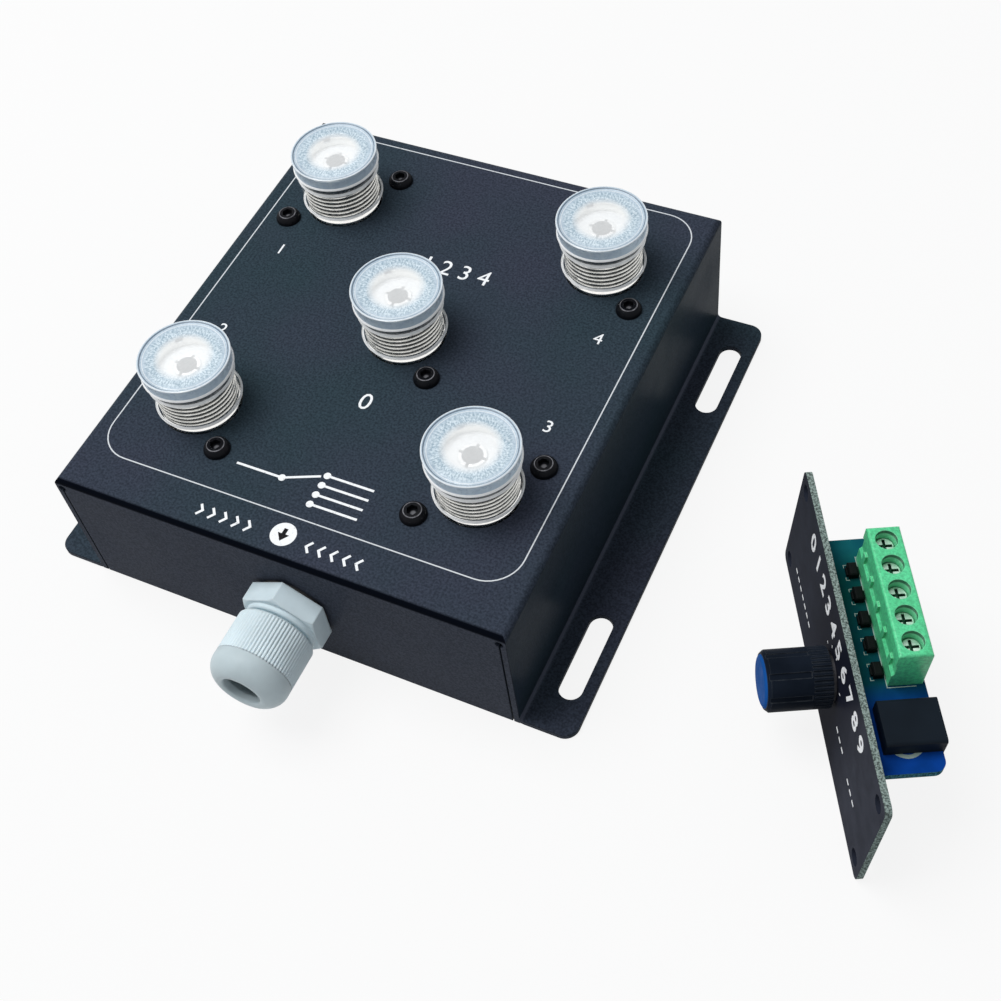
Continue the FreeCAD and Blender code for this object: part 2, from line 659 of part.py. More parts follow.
def switch_wafer():
    """Contact wafer that closes the back of the rotary switch."""
    half = SWITCH_HALF
    z = (-SWITCH_BACK - WAFER_THICK, -SWITCH_BACK)
    return to_controller(on_knob_axis(rounded_plate((-half, half), (-half, half), z, 1.5)))


def switch_pins():
    pins = [block(x, y, (KNOB_Z - 3, LOGIC_TOP - 0.2)) for x, y in switch_pin_places()]
    return group([to_controller(pin) for pin in pins])


def switch_shaft():
    """Shaft with a D flat for the knob and the rotor disc inside the switch."""
    shaft = rod(SHAFT_R, (-PANEL_THICK - 2.3, KNOB_FRONT - 2.0))
    flat = block((-5, 5), (SHAFT_FLAT, 5), (BUSH_LENGTH + 1.0, KNOB_FRONT))
    rotor = rod(5.0, (-SWITCH_BACK + 0.4, -PANEL_THICK - 2.3))
    return to_controller(on_knob_axis(shaft.cut(flat).fuse(rotor).removeSplitter()))


def switch_washer():
    return to_controller(on_knob_axis(tube(4.5, BUSH_R, (0, 0.4))))


def switch_nut():
    nut = tube(4.5, BUSH_R, (0.4, 1.9))
    slots = block((-5, 5), (-0.5, 0.5), (1.2, 3))
    return to_controller(on_knob_axis(nut.cut(slots)))


def knob():
    """Slim push-on knob: ribbed foot, long shallow grooves, recess for the colour insert."""
    outer = turned([(0, KNOB_BACK), (KNOB_R, KNOB_BACK), (KNOB_R, KNOB_FRONT - 0.6),
                    (KNOB_R - 0.5, KNOB_FRONT), (0, KNOB_FRONT)])
    recess = rod(KNOB_R - 0.75, (KNOB_FRONT - 0.7, KNOB_FRONT + 1))
    cavity = rod(KNOB_CAVITY_R, (KNOB_BACK - 1, BUSH_LENGTH + 1.0))
    bore = rod(SHAFT_R, (0, KNOB_FRONT - 2.0)).cut(block((-5, 5), (SHAFT_FLAT, 5), (BUSH_LENGTH + 1.0, 20)))
    body = outer.cut([recess, cavity, bore])
    ribs_end = KNOB_BACK + 3.4
    cutters = []
    for i in range(KNOB_GROOVES):
        groove = block((KNOB_R - 0.22, KNOB_R + 1), (-0.55, 0.55), (ribs_end + 0.3, KNOB_FRONT + 1))
        groove.rotate(V(0, 0, 0), UP, 360 / KNOB_GROOVES * (i + 0.5))
        cutters.append(groove)
    nick = Part.makePolygon([V(KNOB_R + 0.1, -0.3, 0), V(KNOB_R - 0.25, 0, 0),
                             V(KNOB_R + 0.1, 0.3, 0), V(KNOB_R + 0.1, -0.3, 0)])
    nick = Part.Face(nick).extrude(V(0, 0, ribs_end))
    for i in range(KNOB_RIBS):
        one = nick.copy()
        one.rotate(V(0, 0, 0), UP, 360 / KNOB_RIBS * i)
        cutters.append(one)
    return to_controller(on_knob_axis(body.cut(cutters)))


def knob_insert():
    radius = KNOB_R - 0.75
    back, front = KNOB_FRONT - 0.7, KNOB_FRONT + 0.4
    edges = [
        Part.LineSegment(V(0, 0, back), V(radius, 0, back)),
        Part.LineSegment(V(radius, 0, back), V(radius, 0, KNOB_FRONT)),
        Part.Arc(V(radius, 0, KNOB_FRONT), V(radius - 0.3, 0, KNOB_FRONT + 0.27), V(radius - 1.0, 0, front)),
        Part.LineSegment(V(radius - 1.0, 0, front), V(0, 0, front)),
        Part.LineSegment(V(0, 0, front), V(0, 0, back)),
    ]
    return to_controller(on_knob_axis(turned_outline([e.toShape() for e in edges])))


def pole_places():
    return [POLE_FIRST + POLE_PITCH * i for i in range(POLE_COUNT)]


TERMINAL_MID = (TERMINAL_FRONT + TERMINAL_BACK) / 2
TERMINAL_TOP = LOGIC_TOP + TERMINAL_HEIGHT
CAGE_Z = (LOGIC_TOP + 0.8, LOGIC_TOP + 5.2)


def terminal_block():
    """Five-pole screw terminal: screw wells on top, wire entries behind, ribbed foot to the panel."""
    margin = POLE_PITCH / 2 + TERMINAL_MARGIN
    first, last = pole_places()[0] - margin, pole_places()[-1] + margin
    foot = LOGIC_TOP
    profile = [V(first, y, z) for y, z in (
        (TERMINAL_FOOT, foot), (TERMINAL_FOOT, foot + 3.4), (TERMINAL_WAIST, foot + 3.9),
        (TERMINAL_WAIST, foot + 6.4), (TERMINAL_FRONT, foot + 6.9), (TERMINAL_FRONT, TERMINAL_TOP),
        (TERMINAL_BACK, TERMINAL_TOP), (TERMINAL_BACK, foot))]
    body = Part.Face(Part.makePolygon(profile + profile[:1])).extrude(V(last - first, 0, 0))
    rim = [e for e in body.Edges if e.CenterOfMass.z > TERMINAL_TOP - 0.01]
    body = body.makeFillet(0.5, rim)
    ribs = []
    cutters = []
    for x in pole_places():
        deep = (TERMINAL_FOOT, TERMINAL_WAIST + 0.2)
        ribs.append(block((x - 0.6, x + 0.6), deep, (foot + 3.0, foot + 5.6)))
        cutters.append(rod(TERMINAL_HOLE_R, (CAGE_Z[1] + 0.6, TERMINAL_TOP + 1), (x, TERMINAL_MID)))
        cutters.append(rod(1.4, (CAGE_Z[1] - 1, CAGE_Z[1] + 2), (x, TERMINAL_MID)))
        cutters.append(block((x - 1.9, x + 1.9), (TERMINAL_MID - 1.9, TERMINAL_MID + 1.9), CAGE_Z))
        entry = (CAGE_Z[0] + 0.5, CAGE_Z[1] - 1.7)
        cutters.append(block((x - 1.6, x + 1.6), (TERMINAL_MID, TERMINAL_BACK + 1), entry))
    return to_controller(body.fuse(ribs).cut(cutters).removeSplitter())


def terminal_cages():
    """Wire cages inside the terminal, one under each screw."""
    cage = block((-1.9, 1.9), (-1.9, 1.9), CAGE_Z)
    window = block((-1.4, 1.4), (-5, 5), (CAGE_Z[0] + 0.5, CAGE_Z[1] - 1.7))
    cage = cage.cut([window, rod(1.35, (CAGE_Z[1] - 3, CAGE_Z[1] + 1))])
    return group([to_controller(moved(cage, x, TERMINAL_MID, 0)) for x in pole_places()])


def terminal_screw(index):
    """Cross-slotted clamping screw in its well."""
    head_top = TERMINAL_TOP - TERMINAL_SCREW_SUNK
    head_under = head_top - 2.0
    screw = turned([(0, CAGE_Z[0] + 2.6), (1.0, CAGE_Z[0] + 2.6), (1.25, CAGE_Z[0] + 2.9), (1.25, head_under),
                    (TERMINAL_SCREW_R, head_under), (TERMINAL_SCREW_R, head_top - 0.25),
                    (TERMINAL_SCREW_R - 0.25, head_top), (0, head_top)])
    z = (head_top - 0.8, head_top + 1)
    screw = screw.cut([block((-1.4, 1.4), (-0.28, 0.28), z), block((-0.28, 0.28), (-1.4, 1.4), z)])
    return to_controller(moved(screw, pole_places()[index], TERMINAL_MID, 0))


def power_jack():
    """Sunk barrel jack, its mouth facing back."""
    body = block(JACK_X, JACK_Y, JACK_Z)
    long_edges = [e for e in body.Edges if abs(e.tangentAt(e.FirstParameter).y) > 0.99]
    body = body.makeFillet(0.6, long_edges)
    centre = V(sum(JACK_X) / 2, JACK_Y[0] + 1.6, sum(JACK_Z) / 2)
    return to_controller(body.cut(Part.makeCylinder(JACK_BORE, 20, centre, V(0, 1, 0))))


def jack_pin():
    centre = V(sum(JACK_X) / 2, JACK_Y[0] + 1.6, sum(JACK_Z) / 2)
    pin = Part.makeCylinder(JACK_PIN_R, 7.4, centre, V(0, 1, 0))
    tip = [e for e in pin.Edges if e.CenterOfMass.y > centre.y + 7.3]
    return to_controller(pin.makeChamfer(0.4, tip))


def line_diodes():
    diode = chip_diode(LINE_DIODE_SIZE, LOGIC_TOP)
    y = TERMINAL_FOOT - 0.2 - LINE_DIODE_SIZE[1] / 2
    return group([to_controller(moved(diode, x, y, 0)) for x in pole_places()])


def nodes():
    yield "cover", cover()
    yield "bottom_plate", bottom_plate()
    yield "bottom_screws", bottom_screws()
    yield "corner_posts", corner_posts()
    lift = BOX_HEIGHT - SHEET
    for port, (x, y) in PORTS.items():
        yield port + "_shell", moved(socket_shell(), x, y, lift)
        yield port + "_insulator", moved(socket_insulator(), x, y, lift)
        yield port + "_contact", moved(socket_contact(), x, y, lift)
        yield port + "_dust_cap", moved(dust_cap(), x, y, lift)
        if port != "common":
            yield port + "_relay", relay(port)
    yield "socket_screws", socket_screws()
    yield "socket_nuts", socket_nuts()
    yield "board_spacers", board_spacers()
    yield "board_screws", board_screws()
    yield "relay_board", relay_board()
    yield "relay_diodes", relay_diodes()
    yield "control_terminal", control_terminal()
    yield "gland_body", gland_body()
    yield "gland_gasket", gland_gasket()
    yield "gland_locknut", gland_locknut()
    yield "gland_seal", gland_seal()
    yield "gland_nut", gland_nut()
    yield "front_panel", front_panel()
    yield "logic_board", logic_board()
    yield "switch_body", switch_body()
    yield "switch_wafer", switch_wafer()
    yield "switch_pins", switch_pins()
    yield "switch_shaft", switch_shaft()
    yield "switch_washer", switch_washer()
    yield "switch_nut", switch_nut()
    yield "knob", knob()
    yield "knob_insert", knob_insert()
    yield "terminal_block", terminal_block()
    yield "terminal_cages", terminal_cages()
    for i in range(POLE_COUNT):
        yield "terminal_screw_%d" % (i + 1), terminal_screw(i)
    yield "power_jack", power_jack()
    yield "jack_pin", jack_pin()
    yield "line_diodes", line_diodes()


os.makedirs("parts", exist_ok=True)
for name, shape in nodes():
    solids = shape.Solids
    print(name, len(solids), "valid" if shape.isValid() else "INVALID", round(shape.Volume, 1))
    shape.exportStep("parts/%s.step" % name)
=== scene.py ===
import json
import math

import bpy
from mathutils import Matrix, Vector


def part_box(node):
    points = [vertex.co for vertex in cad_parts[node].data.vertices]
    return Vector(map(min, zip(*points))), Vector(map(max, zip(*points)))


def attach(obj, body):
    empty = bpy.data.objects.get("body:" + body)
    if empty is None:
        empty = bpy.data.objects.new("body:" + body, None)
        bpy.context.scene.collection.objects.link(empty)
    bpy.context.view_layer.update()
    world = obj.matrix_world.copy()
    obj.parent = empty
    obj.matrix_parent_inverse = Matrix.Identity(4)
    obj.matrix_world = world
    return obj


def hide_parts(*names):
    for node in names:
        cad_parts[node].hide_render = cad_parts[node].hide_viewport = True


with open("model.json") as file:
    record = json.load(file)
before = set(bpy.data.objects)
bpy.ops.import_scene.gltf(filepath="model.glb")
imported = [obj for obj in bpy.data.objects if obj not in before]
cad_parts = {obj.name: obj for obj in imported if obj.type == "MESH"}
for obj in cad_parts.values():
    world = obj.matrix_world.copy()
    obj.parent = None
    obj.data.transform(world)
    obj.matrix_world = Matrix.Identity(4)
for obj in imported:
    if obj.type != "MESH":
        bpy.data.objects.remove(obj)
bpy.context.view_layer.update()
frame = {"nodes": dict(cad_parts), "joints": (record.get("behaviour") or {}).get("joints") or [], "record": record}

# Looks of a coaxial antenna switch: a relay box with capped coaxial sockets and its hand
# controller. Lengths are in metres. MM turns a size in millimetres into metres.
MM = 0.001
TAU = 2 * math.pi

SOCKETS = ("port1", "port2", "port3", "port4", "common")

# Printed marks; the last four are places and the arrow's points on the relay box's top
INK = 0.03 * MM
LINE_WIDTH = 0.25 * MM
MITRE_LIMIT = 0.3
DOT_STEPS = 20
BORDER_X = 44.6 * MM
BORDER_FRONT = -45.0 * MM
BORDER_BACK = 51.6 * MM
BORDER_CORNER = 7.0 * MM
DIAGRAM_AT = (-1.0 * MM, -37.8 * MM)
CABLE_MARK_AT = (0.7 * MM, -49.0 * MM)
CHEVRONS_AT = (0.0, -49.8 * MM)
ARROW_MM = ((-0.4, 1.3), (-0.4, 0.1), (-1.2, 0.1), (0.0, -1.5), (1.2, 0.1), (0.4, 0.1), (0.4, 1.3))

# Coaxial socket, heights above the flange's face
THREAD_MAJOR = 7.94 * MM
THREAD_DEPTH = 0.5 * MM
THREAD_PITCH = 25.4 / 24 * MM
THREAD_FROM = 3.2 * MM
THREAD_TO = 12.7 * MM
THREAD_ROWS = 84
THREAD_FADE = 0.5 * THREAD_PITCH
RELIEF_R = 7.0 * MM
RELIEF_FOOT = 2.85 * MM
FOOT_EDGE = 1.8 * MM
BARREL_TOP = 13.2 * MM
BARREL_BORE = 6.2 * MM
BOSS_R = 7.0 * MM
BOSS_DEPTH = 4.6 * MM
NOTCH_WIDTH = 1.6 * MM
NOTCH_DEPTH = 0.9 * MM
NOTCH_R = 7.1 * MM
NOTCH_SIDE = 0.006
ARC_STEPS = 26
FLANGE_HALF = 12.7 * MM
FLANGE_THICK = 1.6 * MM
FLANGE_CORNER = 2.0 * MM
FLANGE_HOLE = 9.1 * MM

# Dust cap, heights above the flange's face
CAP_INNER = 8.04 * MM
CAP_OUTER = 8.44 * MM
CAP_START = 3.3 * MM
CAP_BEAD = (9.9 * MM, 10.5 * MM)
CAP_HOLLOW = (10.6 * MM, 11.5 * MM)
CAP_NECK = 11.4 * MM
CAP_LEDGE = 12.0 * MM
CAP_UNDER = 14.1 * MM
CAP_DISH = 14.8 * MM
CAP_TOP = 15.1 * MM
CAP_RIM = 9.15 * MM
CAP_FACETS = 60
CAP_RIB = 0.12 * MM
CAP_RIBBED = (6.2 * MM, 7.6 * MM)

# Relay box: where the gland's ribs end, along its axis, and which pair of its flange's holes a
# socket's screws are in
GLAND_STEP = -69.6 * MM
SCREW_PAIR = {"port1": 1, "port2": -1, "port3": 1, "port4": -1, "common": -1}

# Hand controller, in its own axes: X along its panel, Y behind it, Z up it
PANEL_LENGTH = 68.0 * MM
PANEL_HEIGHT = 28.5 * MM
PANEL_RIM = 0.6 * MM
KNOB_X = 35.5 * MM
KNOB_Z = 14.25 * MM
LOGIC_TOP = 22.85 * MM
POLES = 5
POLE_FIRST = 19.5 * MM
POLE_PITCH = 5.08 * MM
TERMINAL_TOP = LOGIC_TOP + 10 * MM
TERMINAL_MID = 9.95 * MM

# Stage, light and camera
CAMERA_AT = (0.118757, -0.159770, 0.249461)
CAMERA_AIM = (0.030562, -0.020840, 0.020)
CAMERA_ROLL = -9.327
CAMERA_LENS = 52.68
CAMERA_SENSOR = 36
CAMERA_CLIP = 0.01
FLOOR_HALF = 3.0
FLOOR_DROP = 0.05 * MM
FLOOR_GLOW = 0.87
FLOOR_COLOUR = (0.75, 0.75, 0.75, 1)
SKY_COLOUR = (0.93, 0.96, 1.0, 1)
SKY_STRENGTH = 0.36
KEY_AT = (-0.35, -0.05, 0.9)
KEY_AIM = (0.02, 0, 0)
KEY_SIZE = 0.6
KEY_POWER = 7.6

WHITE = (0.97, 0.98, 0.98)
BLACK = (0.0, 0.0, 0.0)


# ---- places ----------------------------------------------------------------

JOINTS = {joint["name"]: joint for joint in frame["joints"]}
PANEL_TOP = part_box("cover")[1][2]


def centre(node):
    low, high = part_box(node)
    return Vector([(a + b) / 2 for a, b in zip(low, high)])


def screw_places():
    """Axes of the ten socket screws as (x, y)."""
    places = []
    for name, pair in SCREW_PAIR.items():
        at = centre(name + "_contact")
        for side in (-1, 1):
            places.append((at.x + side * FLANGE_HOLE, at.y + side * pair * FLANGE_HOLE))
    return places


def controller_place():
    """Matrix of the controller's own axes: +X along the panel, +Y behind it, +Z up it."""
    back = -Vector(JOINTS["selector_turn"]["axis"])
    up = Vector(JOINTS["wire_clamp_1_turn"]["axis"])
    along = back.cross(up)
    place = Matrix((along, back, up)).transposed().to_4x4()
    knob = Vector(JOINTS["selector_turn"]["pos_m"])
    place.translation = knob - KNOB_X * along - KNOB_Z * up
    return place


CONTROLLER = controller_place()
ALONG, BEHIND, UP, CORNER = [CONTROLLER.col[i].to_3d() for i in range(4)]
# Printed side of the controller's panel: x along it, y up it, z out of its front
PANEL_FACE = CONTROLLER @ Matrix.Rotation(math.radians(90), 4, "X")


# ---- meshes ----------------------------------------------------------------

def new_object(name, mesh, smooth_angle=None):
    """An object of that mesh, flat or shaded smooth up to an angle between faces."""
    obj = bpy.data.objects.new(name, mesh)
    bpy.context.scene.collection.objects.link(obj)
    if smooth_angle is not None:
        mesh.shade_smooth()
        mesh.set_sharp_from_angle(angle=math.radians(smooth_angle))
    return obj


def mesh_from(name, points, faces):
    mesh = bpy.data.meshes.new(name)
    mesh.from_pydata([tuple(p) for p in points], [], faces)
    mesh.validate()
    mesh.update()
    return mesh


def joined(name, parts):
    """One mesh of several (points, faces) lists."""
    points, faces = [], []
    for part_points, part_faces in parts:
        start = len(points)
        points += part_points
        faces += [[start + i for i in face] for face in part_faces]
    return mesh_from(name, points, faces)


def ring_skin(rings):
    """Closed torus-like skin through rings of equal length, the last joined to the first."""
    points = [p for ring in rings for p in ring]
    faces = []
    around = len(rings[0])
    for i in range(len(rings)):
        for j in range(around):
            a, b = i * around, ((i + 1) % len(rings)) * around
            k = (j + 1) % around
            faces.append([a + j, b + j, b + k, a + k])
    return points, faces


def polar(radius, angle, height):
    return (radius * math.cos(angle), radius * math.sin(angle), height)


def slab(outline, low, high):
    """Prism of a flat outline given as (x, y) points, anticlockwise."""
    count = len(outline)
    points = [(x, y, low) for x, y in outline] + [(x, y, high) for x, y in outline]
    faces = [list(range(count))[::-1], list(range(count, 2 * count))]
    for i in range(count):
        j = (i + 1) % count
        faces.append([i, j, count + j, count + i])
    return points, faces


def circle(radius, at=(0.0, 0.0), steps=48):
    """Outline of a disc, anticlockwise."""
    angles = [TAU * i / steps for i in range(steps)]
    return [(at[0] + radius * math.cos(a), at[1] + radius * math.sin(a)) for a in angles]


def rounded_rectangle(x, y, radius, steps=10):
    """Outline between the pairs of limits x and y, anticlockwise from the lower right corner."""
    centres = ((x[1] - radius, y[0] + radius, -90), (x[1] - radius, y[1] - radius, 0),
               (x[0] + radius, y[1] - radius, 90), (x[0] + radius, y[0] + radius, 180))
    outline = []
    for cx, cy, start in centres:
        for i in range(steps + 1):
            a = math.radians(start + 90 * i / steps)
            outline.append((cx + radius * math.cos(a), cy + radius * math.sin(a)))
    return outline


def frame_between(outer, inner, low, high):
    """Flat frame between two outlines of equal length."""
    levels = ((outer, low), (outer, high), (inner, high), (inner, low))
    return ring_skin([[(x, y, z) for x, y in outline] for outline, z in levels])


def stroke(path, width):
    """Ink line of constant width along (x, y) points, as a thin closed solid."""
    path = [Vector(p) for p in path]
    left, right = [], []
    for i, p in enumerate(path):
        before, after = path[max(i - 1, 0)], path[min(i + 1, len(path) - 1)]
        legs = [leg.normalized() for leg in (p - before, after - p) if leg.length > 0]
        normals = [Vector((-leg.y, leg.x)) for leg in legs]
        mean = sum(normals, Vector((0, 0))).normalized()
        reach = width / 2 / max(MITRE_LIMIT, mean.dot(normals[0]))
        left.append(p + mean * reach)
        right.append(p - mean * reach)
    return slab([(p.x, p.y) for p in right + left[::-1]], 0, INK)


def text_mesh(name, words, size, bold=0.0):
    """Flat solid lettering in the plain built-in font, centred on its own origin."""
    curve = bpy.data.curves.new(name, "FONT")
    curve.body = words
    curve.size = size
    curve.align_x = "CENTER"
    curve.align_y = "CENTER"
    curve.extrude = INK / 2
    curve.offset = bold
    curve.resolution_u = 3
    holder = bpy.data.objects.new(name, curve)
    bpy.context.scene.collection.objects.link(holder)
    bpy.context.view_layer.update()
    settled = holder.evaluated_get(bpy.context.evaluated_depsgraph_get())
    mesh = bpy.data.meshes.new_from_object(settled)
    bpy.data.objects.remove(holder)
    mesh.name = name
    mesh.transform(Matrix.Translation((0, 0, INK / 2)))
    return mesh


# ---- materials -------------------------------------------------------------

def scaled(colour, factor):
    return tuple(c * factor for c in colour)


class Shader:
    """A material's node tree round one Principled shader."""

    def __init__(self, name, colour, roughness, metallic=0.0, specular=0.5, **sockets):
        self.material = bpy.data.materials.new(name)
        self.material.use_nodes = True
        self.tree = self.material.node_tree
        self.surface = self.tree.nodes["Principled BSDF"]
        self.set("Base Color", (*colour, 1.0))
        self.set("Roughness", roughness)
        self.set("Metallic", metallic)
        self.set("Specular IOR Level", specular)
        for socket, value in sockets.items():
            self.set(socket.replace("_", " "), value)
        self.where = self.add("ShaderNodeTexCoord").outputs["Object"]

    def set(self, socket, value):
        self.surface.inputs[socket].default_value = value

    def add(self, kind, inputs=None, **settings):
        """A node, its inputs given as values or as other nodes' outputs."""
        made = self.tree.nodes.new(kind)
        for key, value in settings.items():
            setattr(made, key, value)
        for key, value in (inputs or {}).items():
            self.feed(made.inputs[key], value)
        return made

    def feed(self, socket, value):
        if isinstance(value, bpy.types.NodeSocket):
            self.tree.links.new(value, socket)
        else:
            socket.default_value = value

    def noise(self, scale, detail=2.0, roughness=0.5, where=None):
        """Soft noise; scale is in blobs to the millimetre."""
        node = self.add("ShaderNodeTexNoise", {"Vector": where or self.where, "Scale": scale / MM,
                                               "Detail": detail, "Roughness": roughness})
        return node.outputs["Fac"]

    def band(self, value, low, high, to_low=0.0, to_high=1.0):
        """Value scaled from low..high to to_low..to_high, held at the ends."""
        node = self.add("ShaderNodeMapRange", {"Value": value, "From Min": low, "From Max": high,
                                               "To Min": to_low, "To Max": to_high})
        return node.outputs["Result"]

    def mix(self, share, first, second):
        """Colour between first and second by share."""
        node = self.add("ShaderNodeMix", data_type="RGBA")
        self.feed(node.inputs["Factor"], share)
        for name, value in (("A", first), ("B", second)):
            target = [s for s in node.inputs if s.name == name and s.type == "RGBA"][0]
            linked = isinstance(value, bpy.types.NodeSocket)
            self.feed(target, value if linked else (*value, 1.0))
        return [s for s in node.outputs if s.type == "RGBA"][0]

    def math(self, operation, *values):
        node = self.add("ShaderNodeMath", operation=operation)
        for socket, value in zip(node.inputs, values):
            self.feed(socket, value)
        return node.outputs[0]

    def both(self, *shares):
        """Product of several shares."""
        total = shares[0]
        for share in shares[1:]:
            total = self.math("MULTIPLY", total, share)
        return total

    def most(self, *shares):
        """Greatest of several shares."""
        total = shares[0]
        for share in shares[1:]:
            total = self.math("MAXIMUM", total, share)
        return total

    def between(self, value, low, high, soft=0.05 * MM):
        """1 where the value lies between the limits, with soft ends outside them."""
        return self.both(self.band(value, low - soft, low), self.band(value, high + soft, high))

    def xyz(self, vector=None):
        """The three parts of a vector, or of the place on the object."""
        return self.add("ShaderNodeSeparateXYZ", {"Vector": vector or self.where}).outputs

    def normal(self):
        return self.add("ShaderNodeNewGeometry").outputs["Normal"]

    def dot(self, vector, axis):
        node = self.add("ShaderNodeVectorMath", {0: vector, 1: axis}, operation="DOT_PRODUCT")
        return node.outputs["Value"]

    def length(self, x, y):
        """Length of a flat vector."""
        return self.math("SQRT", self.math("ADD", self.both(x, x), self.both(y, y)))

    def radius(self, xyz):
        """Distance from the object's own Z axis."""
        return self.length(xyz["X"], xyz["Y"])

    def nearest_axis(self, places):
        """Distance to the nearest of several upright axes, and the height."""
        across = 1.0
        for x, y in places:
            offset = self.add("ShaderNodeVectorMath", {0: self.where, 1: (x, y, 0.0)},
                              operation="SUBTRACT").outputs[0]
            xyz = self.xyz(offset)
            across = self.math("MINIMUM", across, self.radius(xyz))
        return across, xyz["Z"]

    def bevel(self, radius):
        """Normal rounded over the edges by a radius."""
        return self.add("ShaderNodeBevel", {"Radius": radius}, samples=4).outputs["Normal"]

    def edges(self, radius):
        """1 on the object's edges, within radius, and 0 on its flats."""
        return self.band(self.dot(self.bevel(radius), self.normal()), 0.995, 0.90)

    def colour(self, value):
        self.feed(self.surface.inputs["Base Color"], value)

    def roughness(self, value):
        self.feed(self.surface.inputs["Roughness"], value)

    def patchy_roughness(self, low, high, scale, detail=3.0):
        """Roughness that drifts between two values; scale as for noise."""
        self.roughness(self.band(self.noise(scale, detail), 0.3, 0.7, low, high))

    def bump(self, height, strength, depth, rounded=None):
        """Relief of the height map, depth in metres, over edges rounded by a radius."""
        node = self.add("ShaderNodeBump",
                        {"Height": height, "Strength": strength, "Distance": depth})
        if rounded:
            self.feed(node.inputs["Normal"], self.bevel(rounded))
        self.feed(self.surface.inputs["Normal"], node.outputs["Normal"])


def powder_coat():
    """Black powder coat: speckled orange peel in bluish patches.

    The front wall has a painted light of its own and the other upright walls a painted shade, by
    which way they face. Outer bends have a painted dark reflection, inner folds a painted highlight,
    and edges painted shade with spots of wear.
    """
    s = Shader("powder_coat", (0.04, 0.06, 0.08), 0.36, specular=0.009)
    cloud = s.noise(0.022, 3.0)
    tint = s.mix(s.band(cloud, 0.35, 0.65), (0.036, 0.059, 0.075), (0.048, 0.057, 0.084))
    grain = s.band(s.noise(2.2, 1.0, 0.6), 0.35, 0.65)
    tint = s.mix(grain, s.mix(0.42, tint, BLACK), tint)
    normal = s.xyz(s.normal())
    rise, height = normal["Z"], s.xyz()["Z"]
    # Painted light and shade by facing: a lighter tint on the front wall, a darker one on the other walls
    front = s.band(normal["Y"], -0.6, -0.9)
    tint = s.mix(front, tint, s.mix(grain, (0.032, 0.038, 0.052), (0.052, 0.060, 0.082)))
    wall = s.both(s.band(rise, 0.4, 0.1), s.band(normal["Y"], -0.9, -0.6))
    tint = s.mix(s.both(wall, 0.6), tint, (0.006, 0.016, 0.022))
    # Painted shade on the outer bends round the top, strongest along the front, as a dark reflection
    bend_painted_shade = s.both(s.band(rise, 0.04, 0.25), s.band(rise, 0.97, 0.85),
                  s.band(height, 20 * MM, 25 * MM), s.band(normal["Y"], -0.2, 0.0, 1.0, 0.1))
    tint = s.mix(bend_painted_shade, tint, (0.002, 0.003, 0.006))
    # Painted highlight along the inner folds at the foot of the walls
    fold_painted_highlight = s.both(s.band(rise, 0.1, 0.3), s.band(rise, 0.97, 0.8), s.band(height, 6 * MM, 4 * MM))
    tint = s.mix(s.both(fold_painted_highlight, 0.6), tint, (0.11, 0.12, 0.16))
    # Painted shade darkens the edges; the lighter spots after it are wear
    edge = s.edges(0.25 * MM)
    tint = s.mix(s.both(edge, 0.8), tint, (0.004, 0.006, 0.010))
    wear_and_highlight = s.both(edge, s.band(s.noise(0.7), 0.58, 0.72, 0.0, 0.5))
    s.colour(s.mix(wear_and_highlight, tint, (0.07, 0.075, 0.09)))
    s.patchy_roughness(0.3, 0.42, 0.08, 4.0)
    s.bump(s.noise(2.4, 2.0, 0.6), 0.35, 0.05 * MM, rounded=0.25 * MM)
    return s.material


def plated(name, colour, roughness):
    """Plated metal with faint clouding and hair scratches."""
    s = Shader(name, colour, roughness, metallic=1.0)
    s.colour(s.mix(s.band(s.noise(0.15, 3.0), 0.4, 0.7), colour, scaled(colour, 0.78)))
    s.patchy_roughness(roughness * 0.7, roughness * 1.4, 0.6, 4.0)
    s.bump(s.noise(3.0, 3.0, 0.7), 0.35, 0.01 * MM, rounded=0.12 * MM)
    return s.material


def threaded_metal():
    """Nickel plate, bright on the crests, with a painted highlight on the foot and painted shade in the thread's
    roots.
    """
    s = Shader("threaded_nickel", (0.86, 0.85, 0.81), 0.22, metallic=1.0)
    xyz = s.xyz()
    across, height = s.radius(xyz), xyz["Z"]
    # Painted shade in the thread's roots
    root_painted_shade = s.band(across, THREAD_MAJOR - 0.28 * MM, THREAD_MAJOR - 0.04 * MM, 1.0, 0.0)
    above_foot = s.band(height, RELIEF_FOOT, RELIEF_FOOT + 0.1 * MM)
    root_painted_shade = s.both(root_painted_shade, s.math("GREATER_THAN", across, BARREL_BORE + 0.5 * MM), above_foot,
                  s.band(height, BARREL_TOP - 0.2 * MM, BARREL_TOP - 0.3 * MM))
    cloud = s.band(s.noise(0.4, 3.0), 0.35, 0.7)
    bright = s.mix(cloud, (0.93, 0.92, 0.88), (0.74, 0.74, 0.70))
    # Painted highlight: the foot below the relief takes a lighter colour
    bright = s.mix(above_foot, (0.99, 0.98, 0.95), bright)
    s.colour(s.mix(root_painted_shade, bright, (0.03, 0.03, 0.028)))
    s.patchy_roughness(0.16, 0.34, 0.6, 4.0)
    s.bump(s.noise(3.0, 3.0, 0.7), 0.3, 0.01 * MM, rounded=0.08 * MM)
    return s.material


